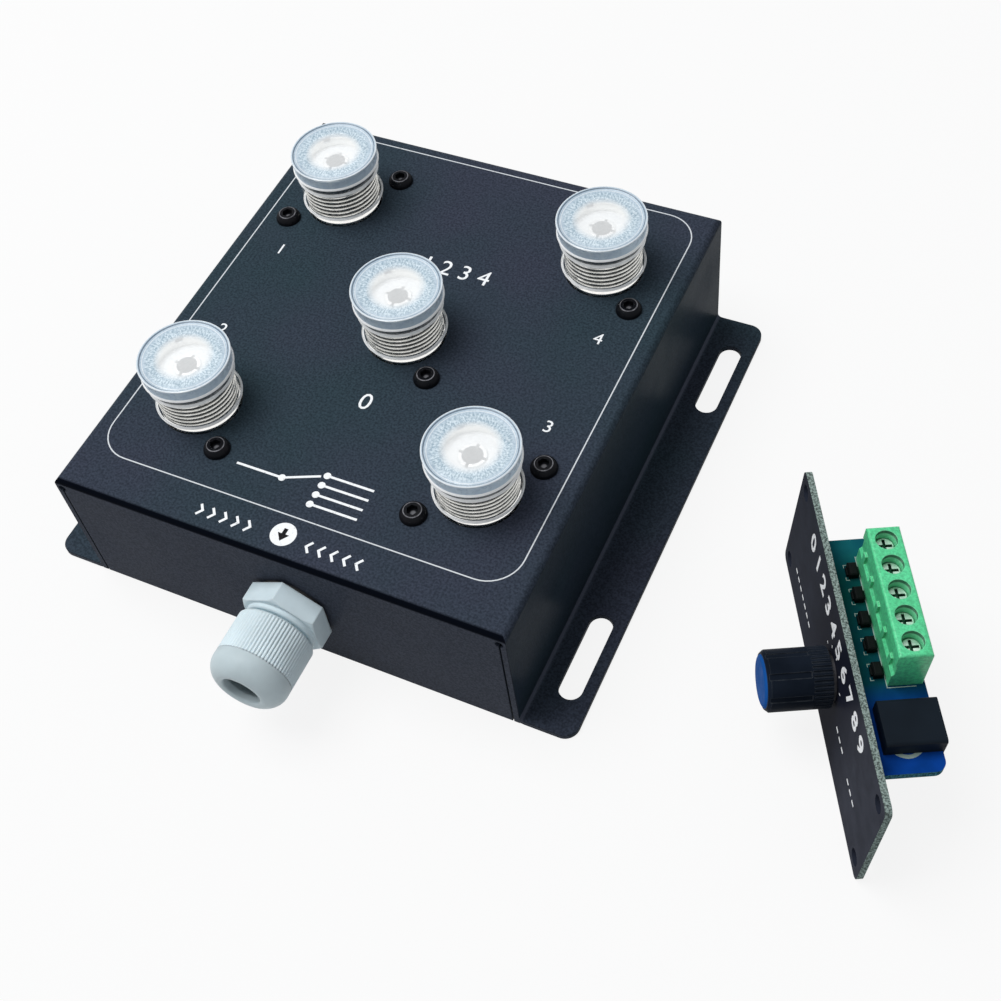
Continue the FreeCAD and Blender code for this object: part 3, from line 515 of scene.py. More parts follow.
def contact_metal(places):
    """Silvered contact, bright on its rim, with painted shade down its centre hole."""
    s = Shader("contact_metal", (0.9, 0.9, 0.88), 0.4, metallic=0.5)
    rise = s.xyz(s.normal())["Z"]
    rim = s.mix(s.band(s.noise(0.5, 3.0), 0.35, 0.7), (0.94, 0.94, 0.93), (0.84, 0.84, 0.82))
    across = s.nearest_axis(places)[0]
    # Painted shade down the centre hole's side
    bore_painted_shade = s.both(s.band(rise, 0.6, 0.3), s.band(across, 2.15 * MM, 2.05 * MM))
    s.colour(s.mix(bore_painted_shade, rim, (0.54, 0.56, 0.56)))
    s.patchy_roughness(0.3, 0.5, 0.6, 4.0)
    s.bump(s.noise(3.0, 3.0, 0.7), 0.2, 0.01 * MM, rounded=0.1 * MM)
    return s.material


def plastic(name, colour, roughness, grain=0.15, shift=0.25, rounded=0.2 * MM, specular=0.5):
    """Moulded plastic: slight colour drift, fine grain, rounded edges that catch light."""
    s = Shader(name, colour, roughness, specular=specular)
    s.colour(s.mix(s.band(s.noise(0.12, 3.0), 0.35, 0.7), colour, scaled(colour, 1 - shift)))
    s.patchy_roughness(roughness * 0.85, roughness * 1.2, 0.5)
    s.bump(s.noise(4.0, 2.0), grain, 0.02 * MM, rounded=rounded)
    return s.material


def knob_plastic():
    """Black plastic with edges along its grooves and ribs lighter, as wear and painted highlight."""
    s = Shader("knob_black", (0.010, 0.015, 0.024), 0.4, specular=0.01)
    cloud = s.band(s.noise(0.12, 3.0), 0.35, 0.7)
    tint = s.mix(cloud, (0.011, 0.016, 0.026), (0.006, 0.009, 0.015))
    # Wear and painted highlight: patchy lighter edges
    wear_and_highlight = s.both(s.edges(0.2 * MM), s.band(s.noise(0.5), 0.35, 0.6, 0.35, 0.9))
    s.colour(s.mix(wear_and_highlight, tint, (0.060, 0.068, 0.078)))
    s.patchy_roughness(0.34, 0.48, 0.5)
    s.bump(s.noise(4.0, 2.0), 0.3, 0.02 * MM, rounded=0.12 * MM)
    return s.material


def clear_cap():
    """Clear soft plastic: frost over the middle, fine specks round it, milky rim between lines.

    The specks round the middle carry painted glints. White painted highlights run along the rim's top
    edge, its lower edge, the skirt's bead and its foot, with painted shade on the band above the
    bead. Its skirt is clearest where it faces the eye. Light goes on through it to what it covers,
    so it casts a weak shadow.
    """
    s = Shader("clear_cap", (0.80, 0.88, 0.93), 0.3, specular=0.35)
    xyz = s.xyz()
    across, height = s.radius(xyz), xyz["Z"]
    # Specks drawn out along the radius
    round_axis = [s.math("DIVIDE", s.both(xyz[axis], 6.5 * MM), across) for axis in "XY"]
    streaks = s.add("ShaderNodeCombineXYZ", {"X": round_axis[0], "Y": round_axis[1],
                                             "Z": s.both(across, 0.6)}).outputs[0]
    # Specks of the frost, their light and dark also painted glints off the facets below
    speck = s.band(s.noise(3.4, 2.0, 0.6, streaks), 0.38, 0.62)
    specks = s.mix(speck, (0.32, 0.44, 0.53), (0.72, 0.83, 0.90))
    outer = s.band(across, 7.2 * MM, 7.9 * MM)
    specks = s.mix(s.both(outer, 0.75), specks, (0.50, 0.61, 0.71))
    ring = s.band(across, 4.4 * MM, 6.0 * MM)
    tint = s.mix(ring, WHITE, specks)
    inner_line = s.between(across, 8.0 * MM, 8.1 * MM)
    tint = s.mix(s.both(inner_line, 0.6), tint, WHITE)
    tint = s.mix(s.between(across, 8.5 * MM, 8.68 * MM), tint, (0.14, 0.19, 0.25))
    rim = s.band(across, 8.55 * MM, 8.6 * MM)
    side = s.both(rim, s.band(height, 14.9 * MM, CAP_DISH))
    cloud = s.band(s.noise(1.0, 3.0, 0.6), 0.35, 0.65)
    tint = s.mix(side, tint, s.mix(cloud, (0.62, 0.77, 0.92), (0.72, 0.86, 0.97)))
    # Painted highlights: white lines along the rim's top edge, its lower edge, the skirt's bead and foot
    lip_highlight = s.both(s.band(across, 8.86 * MM, 8.9 * MM), s.band(height, 14.88 * MM, 14.96 * MM), 0.6)
    ledge_highlight = s.both(rim, s.band(height, 12.62 * MM, 12.56 * MM))
    bead = s.between(height, *CAP_BEAD)
    hollow_shade = s.between(height, *CAP_HOLLOW)
    foot = s.band(height, 3.95 * MM, 3.85 * MM)
    # Painted shade on the band between bead and neck
    tint = s.mix(s.both(hollow_shade, s.math("SUBTRACT", 1.0, rim)), tint, (0.10, 0.12, 0.14))
    s.colour(s.mix(s.most(lip_highlight, ledge_highlight, bead, foot), tint, WHITE))
    lid = s.band(height, 14.4 * MM, 14.5 * MM)
    skin = s.band(across, 8.2 * MM, 8.25 * MM)
    facing = s.add("ShaderNodeLayerWeight", {"Blend": 0.3}).outputs["Facing"]
    alpha = s.most(s.both(lid, s.band(ring, 0.0, 1.0, 0.6, 0.88)), s.both(side, 0.9), lip_highlight, ledge_highlight,
                   s.both(skin, bead, 0.95), s.both(skin, hollow_shade, 0.7), s.both(skin, foot, 0.9),
                   s.both(skin, s.band(facing, 0.6, 0.95, 0.03, 0.3)), 0.02)
    shadow = s.add("ShaderNodeLightPath").outputs["Is Shadow Ray"]
    s.feed(s.surface.inputs["Alpha"], s.both(alpha, s.band(shadow, 0.0, 1.0, 1.0, 0.3)))
    s.patchy_roughness(0.2, 0.4, 1.2, 2.0)
    s.bump(s.noise(1.4, 2.0), 0.2, 0.04 * MM)
    return s.material


def circuit_board(name, mask, edge, face_axis, painted_light_stops=(), rim=()):
    """Solder resist on the board's two faces and bare laminate round its rim.

    painted_light_stops: an axis, then (place along it in metres, colour) stops of painted light and shade on the
    resist.
    rim: pairs of an axis with the limits beyond which a side is the rim and not a hole's wall.
    """
    s = Shader(name, mask, 0.45, specular=0.004)
    face = s.band(s.math("ABSOLUTE", s.dot(s.normal(), face_axis)), 0.8, 0.9)
    weave = s.band(s.noise(2.6, 2.0, 0.7), 0.4, 0.6)
    side = s.mix(weave, scaled(edge, 0.3), scaled(edge, 1.4))
    if rim:
        outside = 0.0
        for axis, (low, high) in rim:
            place = s.dot(s.where, axis)
            outside = s.most(outside, s.most(s.math("LESS_THAN", place, low),
                                             s.math("GREATER_THAN", place, high)))
        side = s.mix(outside, mask, side)
    resist = mask
    if painted_light_stops:
        axis, *stops = painted_light_stops
        place = s.dot(s.where, axis)
        resist = stops[0][1]
        for (start, _), (end, shade) in zip(stops, stops[1:]):
            resist = s.mix(s.band(place, start, end), resist, shade)
    cloud = s.band(s.noise(0.25, 3.0), 0.35, 0.65)
    resist = s.mix(s.both(cloud, 0.35), resist, scaled(mask, 0.4))
    s.colour(s.mix(face, side, resist))
    s.roughness(s.band(face, 0.0, 1.0, 0.75, 0.45))
    s.bump(s.noise(1.2, 3.0), 0.2, 0.02 * MM)
    return s.material


def printing_ink(name, colour):
    """Screen-printed ink with thin spots."""
    s = Shader(name, colour, 0.6)
    cover = s.band(s.noise(1.8, 3.0, 0.7), 0.28, 0.42)
    s.colour(s.mix(cover, scaled(colour, 0.45), colour))
    s.bump(s.noise(3.0), 0.2, 0.01 * MM)
    return s.material


def black_oxide(places):
    """Blackened steel: a painted highlight ring on each screw's head and a painted glint down its socket."""
    s = Shader("black_oxide", (0.003, 0.004, 0.006), 0.35, specular=0.06)
    deep = s.mix(s.band(s.noise(0.3, 3.0), 0.35, 0.7), (0.004, 0.005, 0.007), (0.008, 0.008, 0.010))
    across, height = s.nearest_axis(places)
    # Painted highlight ring round the flat of each head
    ring_highlight = s.both(s.between(across, 1.66 * MM, 1.78 * MM),
                    s.band(s.noise(0.9), 0.35, 0.6, 0.4, 1.0))
    glint = s.both(s.band(across, 0.65 * MM, 0.35 * MM),
                   s.band(height, PANEL_TOP + 0.8 * MM, PANEL_TOP + 0.7 * MM))
    s.colour(s.mix(s.most(ring_highlight, s.both(glint, 0.6)), deep, (0.24, 0.24, 0.26)))
    s.patchy_roughness(0.28, 0.42, 0.5)
    s.bump(s.noise(4.0, 2.0), 0.15, 0.02 * MM, rounded=0.12 * MM)
    return s.material


def terminal_green():
    """Green moulded housing: speckled, edges lighter as wear and painted highlight, wells with painted shade at
    their mouths and painted light below.
    """
    s = Shader("terminal_green", (0.09, 0.70, 0.29), 0.36, specular=0.4)
    speck = s.band(s.noise(1.8, 2.0, 0.7), 0.38, 0.62)
    cloud = s.band(s.noise(0.12, 3.0), 0.35, 0.7)
    light = s.mix(cloud, (0.12, 0.76, 0.36), (0.09, 0.66, 0.29))
    tint = s.mix(speck, s.mix(0.3, light, (0.0, 0.02, 0.01)), light)
    # Wear and painted highlight on the edges
    wear_and_highlight = s.both(s.edges(0.25 * MM), s.band(s.noise(0.8), 0.4, 0.6, 0.3, 0.8))
    tint = s.mix(wear_and_highlight, tint, (0.36, 0.88, 0.55))

    def place(axis, offset):
        return s.math("SUBTRACT", s.dot(s.where, axis), axis.dot(CORNER) + offset)

    pole = s.math("DIVIDE", place(ALONG, POLE_FIRST), POLE_PITCH)
    pole = s.both(s.math("SUBTRACT", pole, s.math("ROUND", pole)), POLE_PITCH)
    depth = s.both(place(UP, TERMINAL_TOP), -1.0)
    across = s.length(pole, place(BEHIND, TERMINAL_MID))
    # Painted shade at the wells' mouths, painted light further down them
    well_painted_light = s.both(s.band(across, 2.1 * MM, 2.03 * MM), s.band(depth, 0.03 * MM, 0.08 * MM))
    below_mouth = s.band(depth, 0.75 * MM, 0.95 * MM)
    s.colour(s.mix(well_painted_light, tint, s.mix(below_mouth, (0.015, 0.16, 0.075), (0.20, 0.74, 0.42))))
    s.patchy_roughness(0.3, 0.42, 0.5)
    s.bump(s.noise(3.0, 2.0), 0.2, 0.02 * MM, rounded=0.25 * MM)
    return s.material


def screw_face(top):
    """Terminal screw: plated face tinted with a painted green reflection of the housing, painted shade in its
    slots below the face.
    """
    s = Shader("terminal_screw", (0.6, 0.72, 0.64), 0.35, metallic=0.6)
    # Painted shade in the slots below the face
    low = s.band(s.dot(s.where, UP), top - 0.35 * MM, top - 0.15 * MM, 1.0, 0.0)
    # Painted green reflection of the housing across the face
    face = s.mix(s.band(s.noise(0.8, 3.0), 0.35, 0.65), (0.70, 0.88, 0.76), (0.42, 0.66, 0.52))
    s.colour(s.mix(low, face, (0.01, 0.07, 0.035)))
    s.patchy_roughness(0.28, 0.45, 1.0)
    s.bump(s.noise(3.0, 3.0), 0.25, 0.01 * MM, rounded=0.08 * MM)
    return s.material


def gland_nylon(name, ribbed, plain):
    """Pale grey nylon, slightly waxy: a lighter tint with painted highlight for the ribs, a darker painted shade
    for the dome, a painted shade line between, and lighter edges of wear and painted highlight.
    """
    s = Shader(name, plain, 0.42, specular=0.15, Subsurface_Weight=0.06)
    s.set("Subsurface Radius", (0.0012, 0.0014, 0.0016))
    s.set("Subsurface Scale", 0.4)
    place = s.xyz()["Y"]
    # Painted light: the ribs lighter, the dome in a darker painted shade
    ribs = s.band(place, GLAND_STEP - 0.15 * MM, GLAND_STEP + 0.15 * MM)
    tint = s.mix(ribs, plain, ribbed)
    # Painted shade along the step between ribs and dome
    line = s.between(place, GLAND_STEP - 0.08 * MM, GLAND_STEP + 0.08 * MM, 0.1 * MM)
    tint = s.mix(s.both(line, 0.45), tint, (0.10, 0.13, 0.15))
    cloud = s.band(s.noise(0.15, 3.0), 0.35, 0.7, 0.0, 0.16)
    tint = s.mix(cloud, tint, (0.10, 0.13, 0.14))
    # Wear and painted highlight on the edges
    wear_and_highlight = s.both(s.edges(0.35 * MM), s.band(s.noise(0.6), 0.35, 0.65, 0.2, 0.6))
    s.colour(s.mix(wear_and_highlight, tint, (0.80, 0.88, 0.91)))
    s.patchy_roughness(0.34, 0.5, 0.8)
    s.bump(s.noise(2.5, 2.0), 0.15, 0.02 * MM, rounded=0.5 * MM)
    return s.material


def controller_boards():
    """Materials of the controller's panel and of its logic board, with painted light and shade along their length.
    """
    length, height = ALONG.dot(CORNER), UP.dot(CORNER)
    rim = ((ALONG, (length + PANEL_RIM, length + PANEL_LENGTH - PANEL_RIM)),
           (UP, (height + PANEL_RIM, height + PANEL_HEIGHT - PANEL_RIM)))
    # Panel: a painted shadow round the knob, lighter towards either end
    light, dark, end = (0.022, 0.026, 0.040), (0.010, 0.012, 0.022), (0.038, 0.042, 0.058)
    panel_painted_shadow = (ALONG, (length + 16 * MM, light), (length + 28 * MM, dark),
                    (length + 44 * MM, dark), (length + 54 * MM, end))
    # Logic board: a painted green reflection of the terminal block on the blue resist, with painted shade
    logic_painted_light = (ALONG, (length + 14 * MM, (0.008, 0.115, 0.135)),
                    (length + 20 * MM, (0.004, 0.065, 0.055)),
                    (length + 42 * MM, (0.004, 0.060, 0.075)),
                    (length + 47 * MM, (0.004, 0.05, 0.285)))
    panel = circuit_board("black_board", light, (0.22, 0.28, 0.26), BEHIND, panel_painted_shadow, rim)
    logic = circuit_board("blue_board", (0.004, 0.05, 0.18), (0.05, 0.16, 0.20), UP, logic_painted_light)
    return panel, logic


def slot_materials():
    """The material of each of the record's slots."""
    panel, logic = controller_boards()
    return {
        "black_steel": powder_coat(),
        "nickel": plated("nickel", (0.80, 0.80, 0.77), 0.2),
        "white_insulator": plastic("white_insulator", (0.88, 0.89, 0.89), 0.5, shift=0.05),
        "contact_metal": contact_metal([centre(name + "_contact").xy for name in SOCKETS]),
        "clear_cap": clear_cap(),
        "black_screw": black_oxide(screw_places()),
        "zinc_steel": plated("zinc_steel", (0.60, 0.62, 0.64), 0.3),
        "relay_case": plastic("relay_case", (0.02, 0.05, 0.14), 0.45),
        "green_board": circuit_board("green_board", (0.008, 0.09, 0.035), (0.42, 0.45, 0.30),
                                     (0, 0, 1)),
        "black_board": panel,
        "blue_board": logic,
        "gland_plastic": gland_nylon("gland_plastic", (0.77, 0.90, 0.95), (0.54, 0.63, 0.66)),
        "rubber_black": plastic("rubber_black", (0.015, 0.015, 0.016), 0.7, grain=0.4,
                                rounded=0.3 * MM),
        "knob_black": knob_plastic(),
        "knob_blue": plastic("knob_blue", (0.012, 0.095, 0.36), 0.45, specular=0.005),
        "terminal_green": terminal_green(),
        "jack_black": plastic("jack_black", (0.008, 0.013, 0.020), 0.45, grain=0.3, specular=0.05),
        "switch_case": plastic("switch_case", (0.03, 0.032, 0.036), 0.5),
        "wafer_brown": plastic("wafer_brown", (0.24, 0.12, 0.05), 0.6, grain=0.5, shift=0.4),
        "diode_black": plastic("diode_black", (0.005, 0.007, 0.007), 0.45, grain=0.3,
                               specular=0.06),
    }


def dress_cad_nodes(materials):
    """Every CAD node takes its slot's material; a few pieces take a colour of their own: the terminal screws a
    painted green reflection, the gland's body a darker painted shade, the switch's nut and washer dark steel.
    """
    nodes = frame["nodes"]
    slots = {part["node"]: part["material_slot"] for part in frame["record"]["subparts"]}
    for node, obj in nodes.items():
        obj.data.materials.clear()
        obj.data.materials.append(materials[slots[node]])
    screw_top = max(UP.dot(vertex.co) for vertex in nodes["terminal_screw_1"].data.vertices)
    screw = screw_face(screw_top)
    own = {"terminal_screw_%d" % (i + 1): screw for i in range(POLES)}
    # Painted shade: the gland's hexagon is a darker copy of the nylon
    own["gland_body"] = gland_nylon("gland_hexagon", (0.66, 0.78, 0.83), (0.53, 0.61, 0.64))
    own["switch_nut"] = own["switch_washer"] = plated("dark_nut", (0.09, 0.09, 0.10), 0.4)
    for node, material in own.items():
        nodes[node].data.materials[0] = material


def put(name, mesh, place, body, material, smooth_angle=None):
    """A finished piece: placed, riding on a body and its material."""
    obj = new_object(name, mesh, smooth_angle)
    obj.matrix_world = place
    obj.data.materials.clear()
    obj.data.materials.append(material)
    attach(obj, body)
    return obj


# ---- print on the relay box ------------------------------------------------

def print_on_box(name, mesh, at, ink):
    """A mark on the relay box's top, its origin at (x, y)."""
    put(name, mesh, Matrix.Translation((*at, PANEL_TOP)), "relay_box", ink)


def print_border(ink):
    def outline(inset):
        return rounded_rectangle((inset - BORDER_X, BORDER_X - inset),
                                 (BORDER_FRONT + inset, BORDER_BACK - inset),
                                 BORDER_CORNER - inset)

    line = frame_between(outline(0), outline(LINE_WIDTH), 0, INK)
    print_on_box("panel_border", joined("panel_border", [line]), (0, 0), ink)


def print_numbers(ink):
    """Socket numbers, 0 for the common socket, and a plain row of numbers at the back."""
    small, large = 4.0 * MM, 5.6 * MM
    places = (("number_1", "1", small, -36.4, 14.8), ("number_2", "2", small, -36.6, -9.3),
              ("number_3", "3", small, 36.3, -9.1), ("number_4", "4", small, 36.7, 14.5),
              ("number_0", "0", large, 0.4, -16.0), ("number_row", "1 2 3 4", large, 1.8, 21.6))
    for name, words, size, x, y in places:
        print_on_box(name, text_mesh(name, words, size), (x * MM, y * MM), ink)


def print_diagram(ink):
    """Switch diagram: one common contact with its arm, four contacts with their leads."""
    width, rise = 0.5 * MM, 2.3 * MM
    start, pivot = (-15.0 * MM, 0.0), (-5.0 * MM, 0.0)
    contact_x, lead_end = 3.0 * MM, 13.0 * MM
    arm_end = (1.9 * MM, 1.5 * rise - 0.5 * MM)

    def dot(at):
        return slab(circle(0.75 * MM, at, DOT_STEPS), 0, 1.5 * INK)

    parts = [dot(pivot), stroke([start, pivot], width)]
    for i in range(4):
        y = (1.5 - i) * rise
        contact = (contact_x, y)
        parts += [dot(contact), stroke([contact, (lead_end, y)], width)]
    parts.append(stroke([pivot, arm_end], width))
    print_on_box("switch_diagram", joined("switch_diagram", parts), DIAGRAM_AT, ink)


def print_cable_mark(ink, dark):
    """White disc with a dark arrow to the gland, chevrons on either side pointing at it."""
    disc = joined("cable_disc", [slab(circle(2.55 * MM), 0, INK)])
    print_on_box("cable_disc", disc, CABLE_MARK_AT, ink)
    arrow = joined("cable_arrow", [slab([(x * MM, y * MM) for x, y in ARROW_MM], INK, 2 * INK)])
    print_on_box("cable_arrow", arrow, CABLE_MARK_AT, dark)
    reach, half = 0.9 * MM, 1.2 * MM
    first, pitch = 6.0 * MM, 2.6 * MM
    parts = []
    for side in (-1, 1):
        for i in range(5):
            tip = side * (first + pitch * i)
            back = tip + side * reach
            parts.append(stroke([(back, half), (tip, 0), (back, -half)], 0.5 * MM))
    print_on_box("cable_chevrons", joined("cable_chevrons", parts), CHEVRONS_AT, ink)


# ---- sockets and caps ------------------------------------------------------

def thread_radius(height, angle):
    """Outside of the threaded barrel: a 60 degree V with flats, faded in and out at its ends."""
    turn = (height / THREAD_PITCH - angle / TAU) % 1.0
    depth = min(1.0, max(0.0, abs(turn - 0.5) * 2.6 - 0.25))
    fade = min(1.0, (height - THREAD_FROM) / THREAD_FADE, (THREAD_TO - height) / THREAD_FADE)
    return THREAD_MAJOR - THREAD_DEPTH * depth * max(0.0, fade)


def barrel_angles():
    """(angle, in a notch) round the barrel, with steep pairs at the sides of its rim notches."""
    half = NOTCH_WIDTH / 2 / NOTCH_R
    angles = []
    for quarter in range(4):
        middle = math.radians(45 + 90 * quarter)
        angles += [(middle + half * t, True) for t in (-1.0, -0.5, 0.0, 0.5, 1.0)]
        start, end = middle + half + NOTCH_SIDE, middle + TAU / 4 - half - NOTCH_SIDE
        steps = range(ARC_STEPS + 1)
        angles += [(start + (end - start) * i / ARC_STEPS, False) for i in steps]
    return angles


def socket_mesh():
    """Threaded shell of a coaxial socket on its square flange."""
    columns = [(a, NOTCH_DEPTH if notch else 0) for a, notch in barrel_angles()]

    def ring(radius, height):
        return [polar(radius, a, height) for a, _ in columns]

    def notched(radius, height):
        return [polar(radius, a, height - drop) for a, drop in columns]

    thread_root = THREAD_MAJOR - THREAD_DEPTH
    rings = [ring(BARREL_BORE, -BOSS_DEPTH), notched(BARREL_BORE, BARREL_TOP - 0.2 * MM),
             notched(BARREL_BORE + 0.2 * MM, BARREL_TOP),
             notched(thread_root - 0.35 * MM, BARREL_TOP),
             notched(thread_root + 0.1 * MM, BARREL_TOP - 0.25 * MM)]
    for i in range(THREAD_ROWS + 1):
        z = THREAD_TO - (THREAD_TO - THREAD_FROM) * i / THREAD_ROWS
        rings.append([polar(thread_radius(z, a), a, min(z, BARREL_TOP - 0.3 * MM - drop))
                      for a, drop in columns])
    rings += [ring(RELIEF_R, THREAD_FROM - 0.2 * MM), ring(RELIEF_R, RELIEF_FOOT),
              ring(THREAD_MAJOR, FOOT_EDGE), ring(THREAD_MAJOR, 0.0), ring(BOSS_R, 0.0),
              ring(BOSS_R, -BOSS_DEPTH)]
    limits = (-FLANGE_HALF, FLANGE_HALF)
    outline = rounded_rectangle(limits, limits, FLANGE_CORNER)
    hole = [polar(BOSS_R, math.atan2(y, x), 0)[:2] for x, y in outline]
    flange = frame_between(outline, hole, -FLANGE_THICK, 0)
    return joined("threaded_socket", [ring_skin(rings[::-1]), flange])


def cap_mesh():
    """Push-on dust cap: thin skirt with a bead, rim between two beads, dished top.

    The underside of the top has a ring of ribs of uneven depth.
    """
    steps = 4 * CAP_FACETS

    def ring(radius, height, ribbed=False):
        ribs = [CAP_RIB * abs(math.sin(2.4 * (i // 4))) if ribbed and i % 4 in (0, 1) else 0
                for i in range(steps)]
        return [polar(radius, TAU * i / steps, height + ribs[i]) for i in range(steps)]

    bead_low, bead_high = CAP_BEAD
    outside = [(CAP_INNER + 0.25 * MM, CAP_START), (CAP_OUTER + 0.20 * MM, CAP_START),
               (CAP_OUTER + 0.25 * MM, CAP_START + 0.12 * MM),
               (CAP_OUTER, CAP_START + 0.5 * MM), (CAP_OUTER, bead_low),
               (CAP_OUTER + 0.28 * MM, bead_low + 0.1 * MM),
               (CAP_OUTER + 0.26 * MM, bead_low + 0.22 * MM),
               (CAP_OUTER, bead_high), (CAP_OUTER, CAP_NECK),
               (CAP_OUTER + 0.12 * MM, CAP_NECK + 0.4 * MM), (CAP_OUTER + 0.3 * MM, CAP_LEDGE),
               (CAP_RIM - 0.1 * MM, CAP_LEDGE), (CAP_RIM - 0.01 * MM, CAP_LEDGE + 0.1 * MM),
               (CAP_RIM - 0.03 * MM, CAP_LEDGE + 0.25 * MM),
               (CAP_RIM - 0.24 * MM, CAP_LEDGE + 0.5 * MM),
               (CAP_RIM - 0.24 * MM, CAP_LEDGE + 0.7 * MM),
               (CAP_RIM - 0.16 * MM, CAP_TOP - 0.5 * MM),
               (CAP_RIM - 0.02 * MM, CAP_TOP - 0.25 * MM),
               (CAP_RIM - 0.05 * MM, CAP_TOP - 0.1 * MM),
               (CAP_RIM - 0.15 * MM, CAP_TOP - 0.02 * MM), (CAP_RIM - 0.3 * MM, CAP_TOP),
               (CAP_RIM - 0.5 * MM, CAP_TOP - 0.05 * MM),
               (CAP_RIM - 0.7 * MM, CAP_TOP - 0.2 * MM),
               (CAP_RIM - 1.1 * MM, CAP_DISH + 0.02 * MM), (6.4 * MM, CAP_DISH),
               (3.0 * MM, CAP_DISH), (0.4 * MM, CAP_DISH)]
    inside = [(0.4 * MM, CAP_UNDER), (3.0 * MM, CAP_UNDER), (6.0 * MM, CAP_UNDER),
              (6.3 * MM, CAP_UNDER), (7.2 * MM, CAP_UNDER),
              (CAP_INNER - 0.5 * MM, CAP_UNDER - 0.1 * MM),
              (CAP_INNER, CAP_UNDER - 0.6 * MM), (CAP_INNER, CAP_START + 0.4 * MM)]
    rings = [ring(radius, height) for radius, height in outside]
    rings += [ring(radius, height, CAP_RIBBED[0] < radius < CAP_RIBBED[1])
              for radius, height in inside]
    points = [p for around in rings for p in around]
    top, under = len(outside) - 1, len(outside)
    faces = []
    for i in range(len(rings)):
        if i == top:
            continue
        for j in range(steps):
            k = (j + 1) % steps
            a, b = i * steps, ((i + 1) % len(rings)) * steps
            faces.append([a + j, a + k, b + k, b + j])
    faces.append([top * steps + j for j in range(steps)])
    faces.append([under * steps + j for j in range(steps)][::-1])
    return mesh_from("dust_cap", points, faces)


def dress_sockets(materials):
    socket, cap = socket_mesh(), cap_mesh()
    thread = threaded_metal()
    flange_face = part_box("port1_shell")[1][2] - BARREL_TOP
    for name in SOCKETS:
        at = centre(name + "_contact")
        place = Matrix.Translation((at.x, at.y, flange_face))
        shell = put(name + "_threaded_shell", socket, place, "relay_box", thread, 38)
        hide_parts(name + "_shell")
        lid = put(name + "_clear_cap", cap, place, name + "_cap",
                  materials["clear_cap"], 40)
        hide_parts(name + "_dust_cap")


# ---- print on the hand controller ------------------------------------------

def print_controller_panel(ink):
    """Plain numbers along the top, ticks round the knob and short rules."""
    row = text_mesh("scale_numbers", "0 1 2 3 4 5 6 7 8 9", 5.8 * MM, bold=0.14 * MM)
    row_place = PANEL_FACE @ Matrix.Translation((33.0 * MM, 22.7 * MM, 0))
    put("scale_numbers", row, row_place, "controller", ink)
    parts = []
    for i in range(5):
        a = math.radians(150 - 30 * i)
        tick = [(KNOB_X + r * math.cos(a), KNOB_Z + r * math.sin(a))
                for r in (5.85 * MM, 6.35 * MM)]
        parts.append(stroke(tick, 0.3 * MM))
    for x, y, count in ((7.8, 6.9, 7), (43.6, 10.6, 3), (53.2, 9.8, 3)):
        for i in range(count):
            at = (x + 2.0 * i) * MM
            parts.append(stroke([(at, y * MM), (at + 1.2 * MM, y * MM)], 0.5 * MM))
    put("panel_ticks", joined("panel_ticks", parts), PANEL_FACE, "controller", ink)


def print_logic_board(ink):
    """Outline along the terminal's foot, corner marks of the diodes, arc beside the jack."""
    foot, near, far = 6.8 * MM, 43.0 * MM, 16.3 * MM
    outline = [(far, foot + 3 * MM), (far, foot), (near, foot), (near, foot + 5 * MM)]
    parts = [stroke(outline, 0.16 * MM)]
    mark_y, mark_arm = 4.3 * MM, 0.6 * MM
    for i in range(POLES):
        for side in (-1, 1):
            x = POLE_FIRST + POLE_PITCH * i + side * 1.6 * MM
            corner = [(x, mark_y + mark_arm), (x, mark_y), (x - side * mark_arm, mark_y)]
            parts.append(stroke(corner, 0.13 * MM))
    arc = [(55.9 * MM - 2.6 * MM * t ** 2, (7.6 + 3.6 * t) * MM)
           for t in (i / 8 - 1 for i in range(17))]
    parts.append(stroke(arc, 0.7 * MM))
    place = CONTROLLER @ Matrix.Translation((0, 0, LOGIC_TOP))
    put("logic_print", joined("logic_print", parts), place, "controller", ink)


# ---- stage, light and camera -----------------------------------------------

def aimed(at, aim):
    """Matrix of a camera or lamp at a place, its -Z axis towards another."""
    turn = (Vector(aim) - Vector(at)).to_track_quat("-Z", "Y").to_matrix().to_4x4()
    return Matrix.Translation(at) @ turn


def add_camera():
    data = bpy.data.cameras.new("camera")
    data.lens = CAMERA_LENS
    data.sensor_width = CAMERA_SENSOR
    data.clip_start = CAMERA_CLIP
    camera = bpy.data.objects.new("camera", data)
    bpy.context.scene.collection.objects.link(camera)
    roll = Matrix.Rotation(math.radians(CAMERA_ROLL), 4, "Z")
    camera.matrix_world = aimed(CAMERA_AT, CAMERA_AIM) @ roll
    bpy.context.scene.camera = camera


def background_rays(tree):
    """1 for the rays that show the background: camera, glossy and transmission rays."""
    path = tree.nodes.new("ShaderNodeLightPath")
    seen = path.outputs["Is Camera Ray"]
    for ray in ("Is Glossy Ray", "Is Transmission Ray"):
        either = tree.nodes.new("ShaderNodeMath")
        either.operation = "MAXIMUM"
        tree.links.new(seen, either.inputs[0])
        tree.links.new(path.outputs[ray], either.inputs[1])
        seen = either.outputs[0]
    return seen


def mixed_into(output, tree, share, first, second):
    """Mix of two shaders by share, linked to the output node's surface."""
    mixed = tree.nodes.new("ShaderNodeMixShader")
    tree.links.new(share, mixed.inputs["Fac"])
    tree.links.new(first.outputs[0], mixed.inputs[1])
    tree.links.new(second.outputs[0], mixed.inputs[2])
    tree.links.new(mixed.outputs[0], tree.nodes[output].inputs["Surface"])


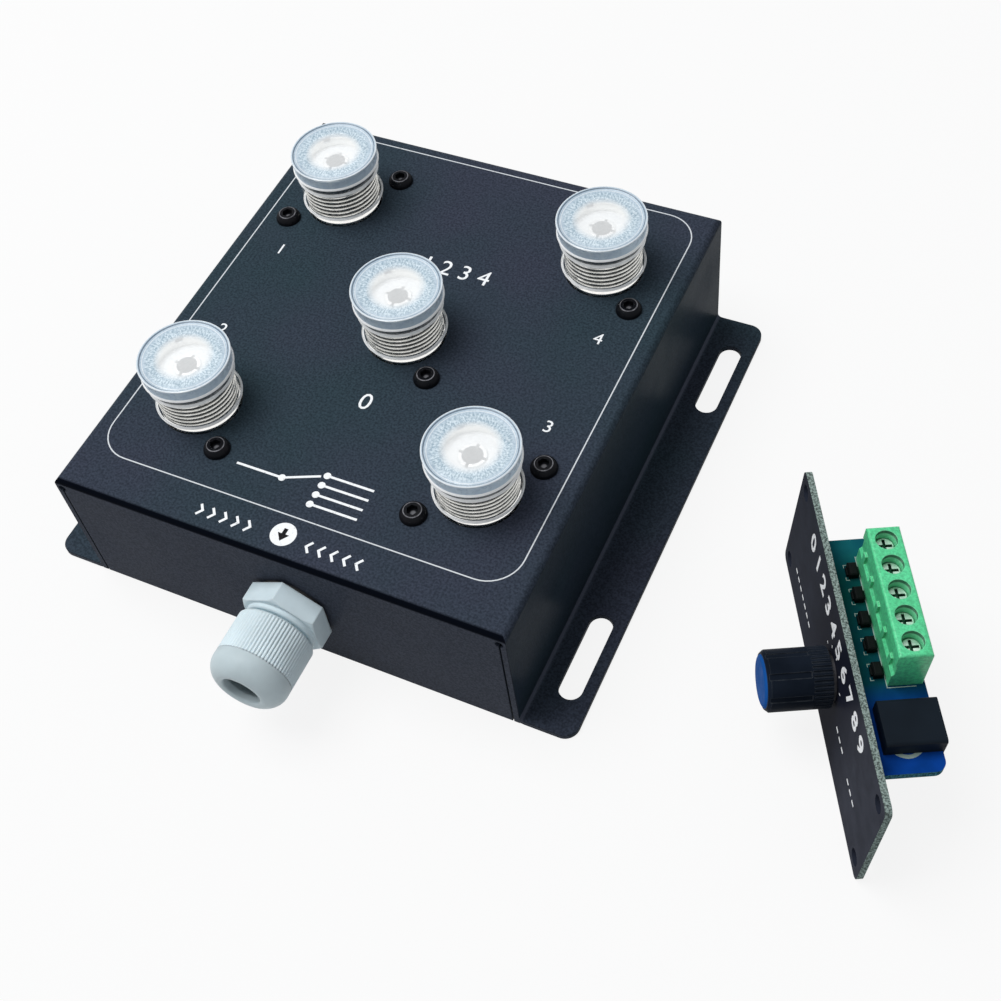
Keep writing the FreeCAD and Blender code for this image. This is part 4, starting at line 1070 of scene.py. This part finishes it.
def add_floor():
    """Pale floor that shows nearly white and keeps the object's soft shadow."""
    half = FLOOR_HALF
    corners = [(-half, -half, 0), (half, -half, 0), (half, half, 0), (-half, half, 0)]
    mesh = mesh_from("floor", corners, [[0, 1, 2, 3]])
    floor = new_object("floor", mesh)
    floor.location.z = -FLOOR_DROP
    material = bpy.data.materials.new("floor")
    material.use_nodes = True
    tree = material.node_tree
    tree.nodes.remove(tree.nodes["Principled BSDF"])
    diffuse = tree.nodes.new("ShaderNodeBsdfDiffuse")
    diffuse.inputs["Color"].default_value = FLOOR_COLOUR
    glow = tree.nodes.new("ShaderNodeEmission")
    glow.inputs["Strength"].default_value = 1.0
    share = tree.nodes.new("ShaderNodeMath")
    share.operation = "MULTIPLY"
    share.inputs[1].default_value = FLOOR_GLOW
    tree.links.new(background_rays(tree), share.inputs[0])
    mixed_into("Material Output", tree, share.outputs[0], diffuse, glow)
    mesh.materials.append(material)


def add_world():
    """White to the camera, to gloss and to clear plastic; a plain level for the rest."""
    world = bpy.data.worlds.new("studio")
    bpy.context.scene.world = world
    world.use_nodes = True
    tree = world.node_tree
    plain = tree.nodes["Background"]
    plain.inputs["Color"].default_value = SKY_COLOUR
    plain.inputs["Strength"].default_value = SKY_STRENGTH
    white = tree.nodes.new("ShaderNodeBackground")
    white.inputs["Color"].default_value = (1, 1, 1, 1)
    white.inputs["Strength"].default_value = 1.0
    mixed_into("World Output", tree, background_rays(tree), plain, white)


def add_key_light():
    light = bpy.data.lights.new("key", "AREA")
    light.shape = "SQUARE"
    light.size = KEY_SIZE
    light.energy = KEY_POWER
    lamp = bpy.data.objects.new("key", light)
    bpy.context.scene.collection.objects.link(lamp)
    lamp.matrix_world = aimed(KEY_AT, KEY_AIM)


def main():
    materials = slot_materials()
    dress_cad_nodes(materials)
    ink = printing_ink("white_ink", (0.90, 0.92, 0.94))
    print_border(printing_ink("border_ink", (0.66, 0.69, 0.72)))
    print_numbers(ink)
    print_diagram(ink)
    print_cable_mark(ink, materials["black_screw"])
    dress_sockets(materials)
    print_controller_panel(ink)
    print_logic_board(printing_ink("worn_ink", (0.30, 0.40, 0.36)))
    add_floor()
    add_world()
    add_key_light()
    add_camera()


main()
bpy.context.scene.view_settings.view_transform = "Standard"
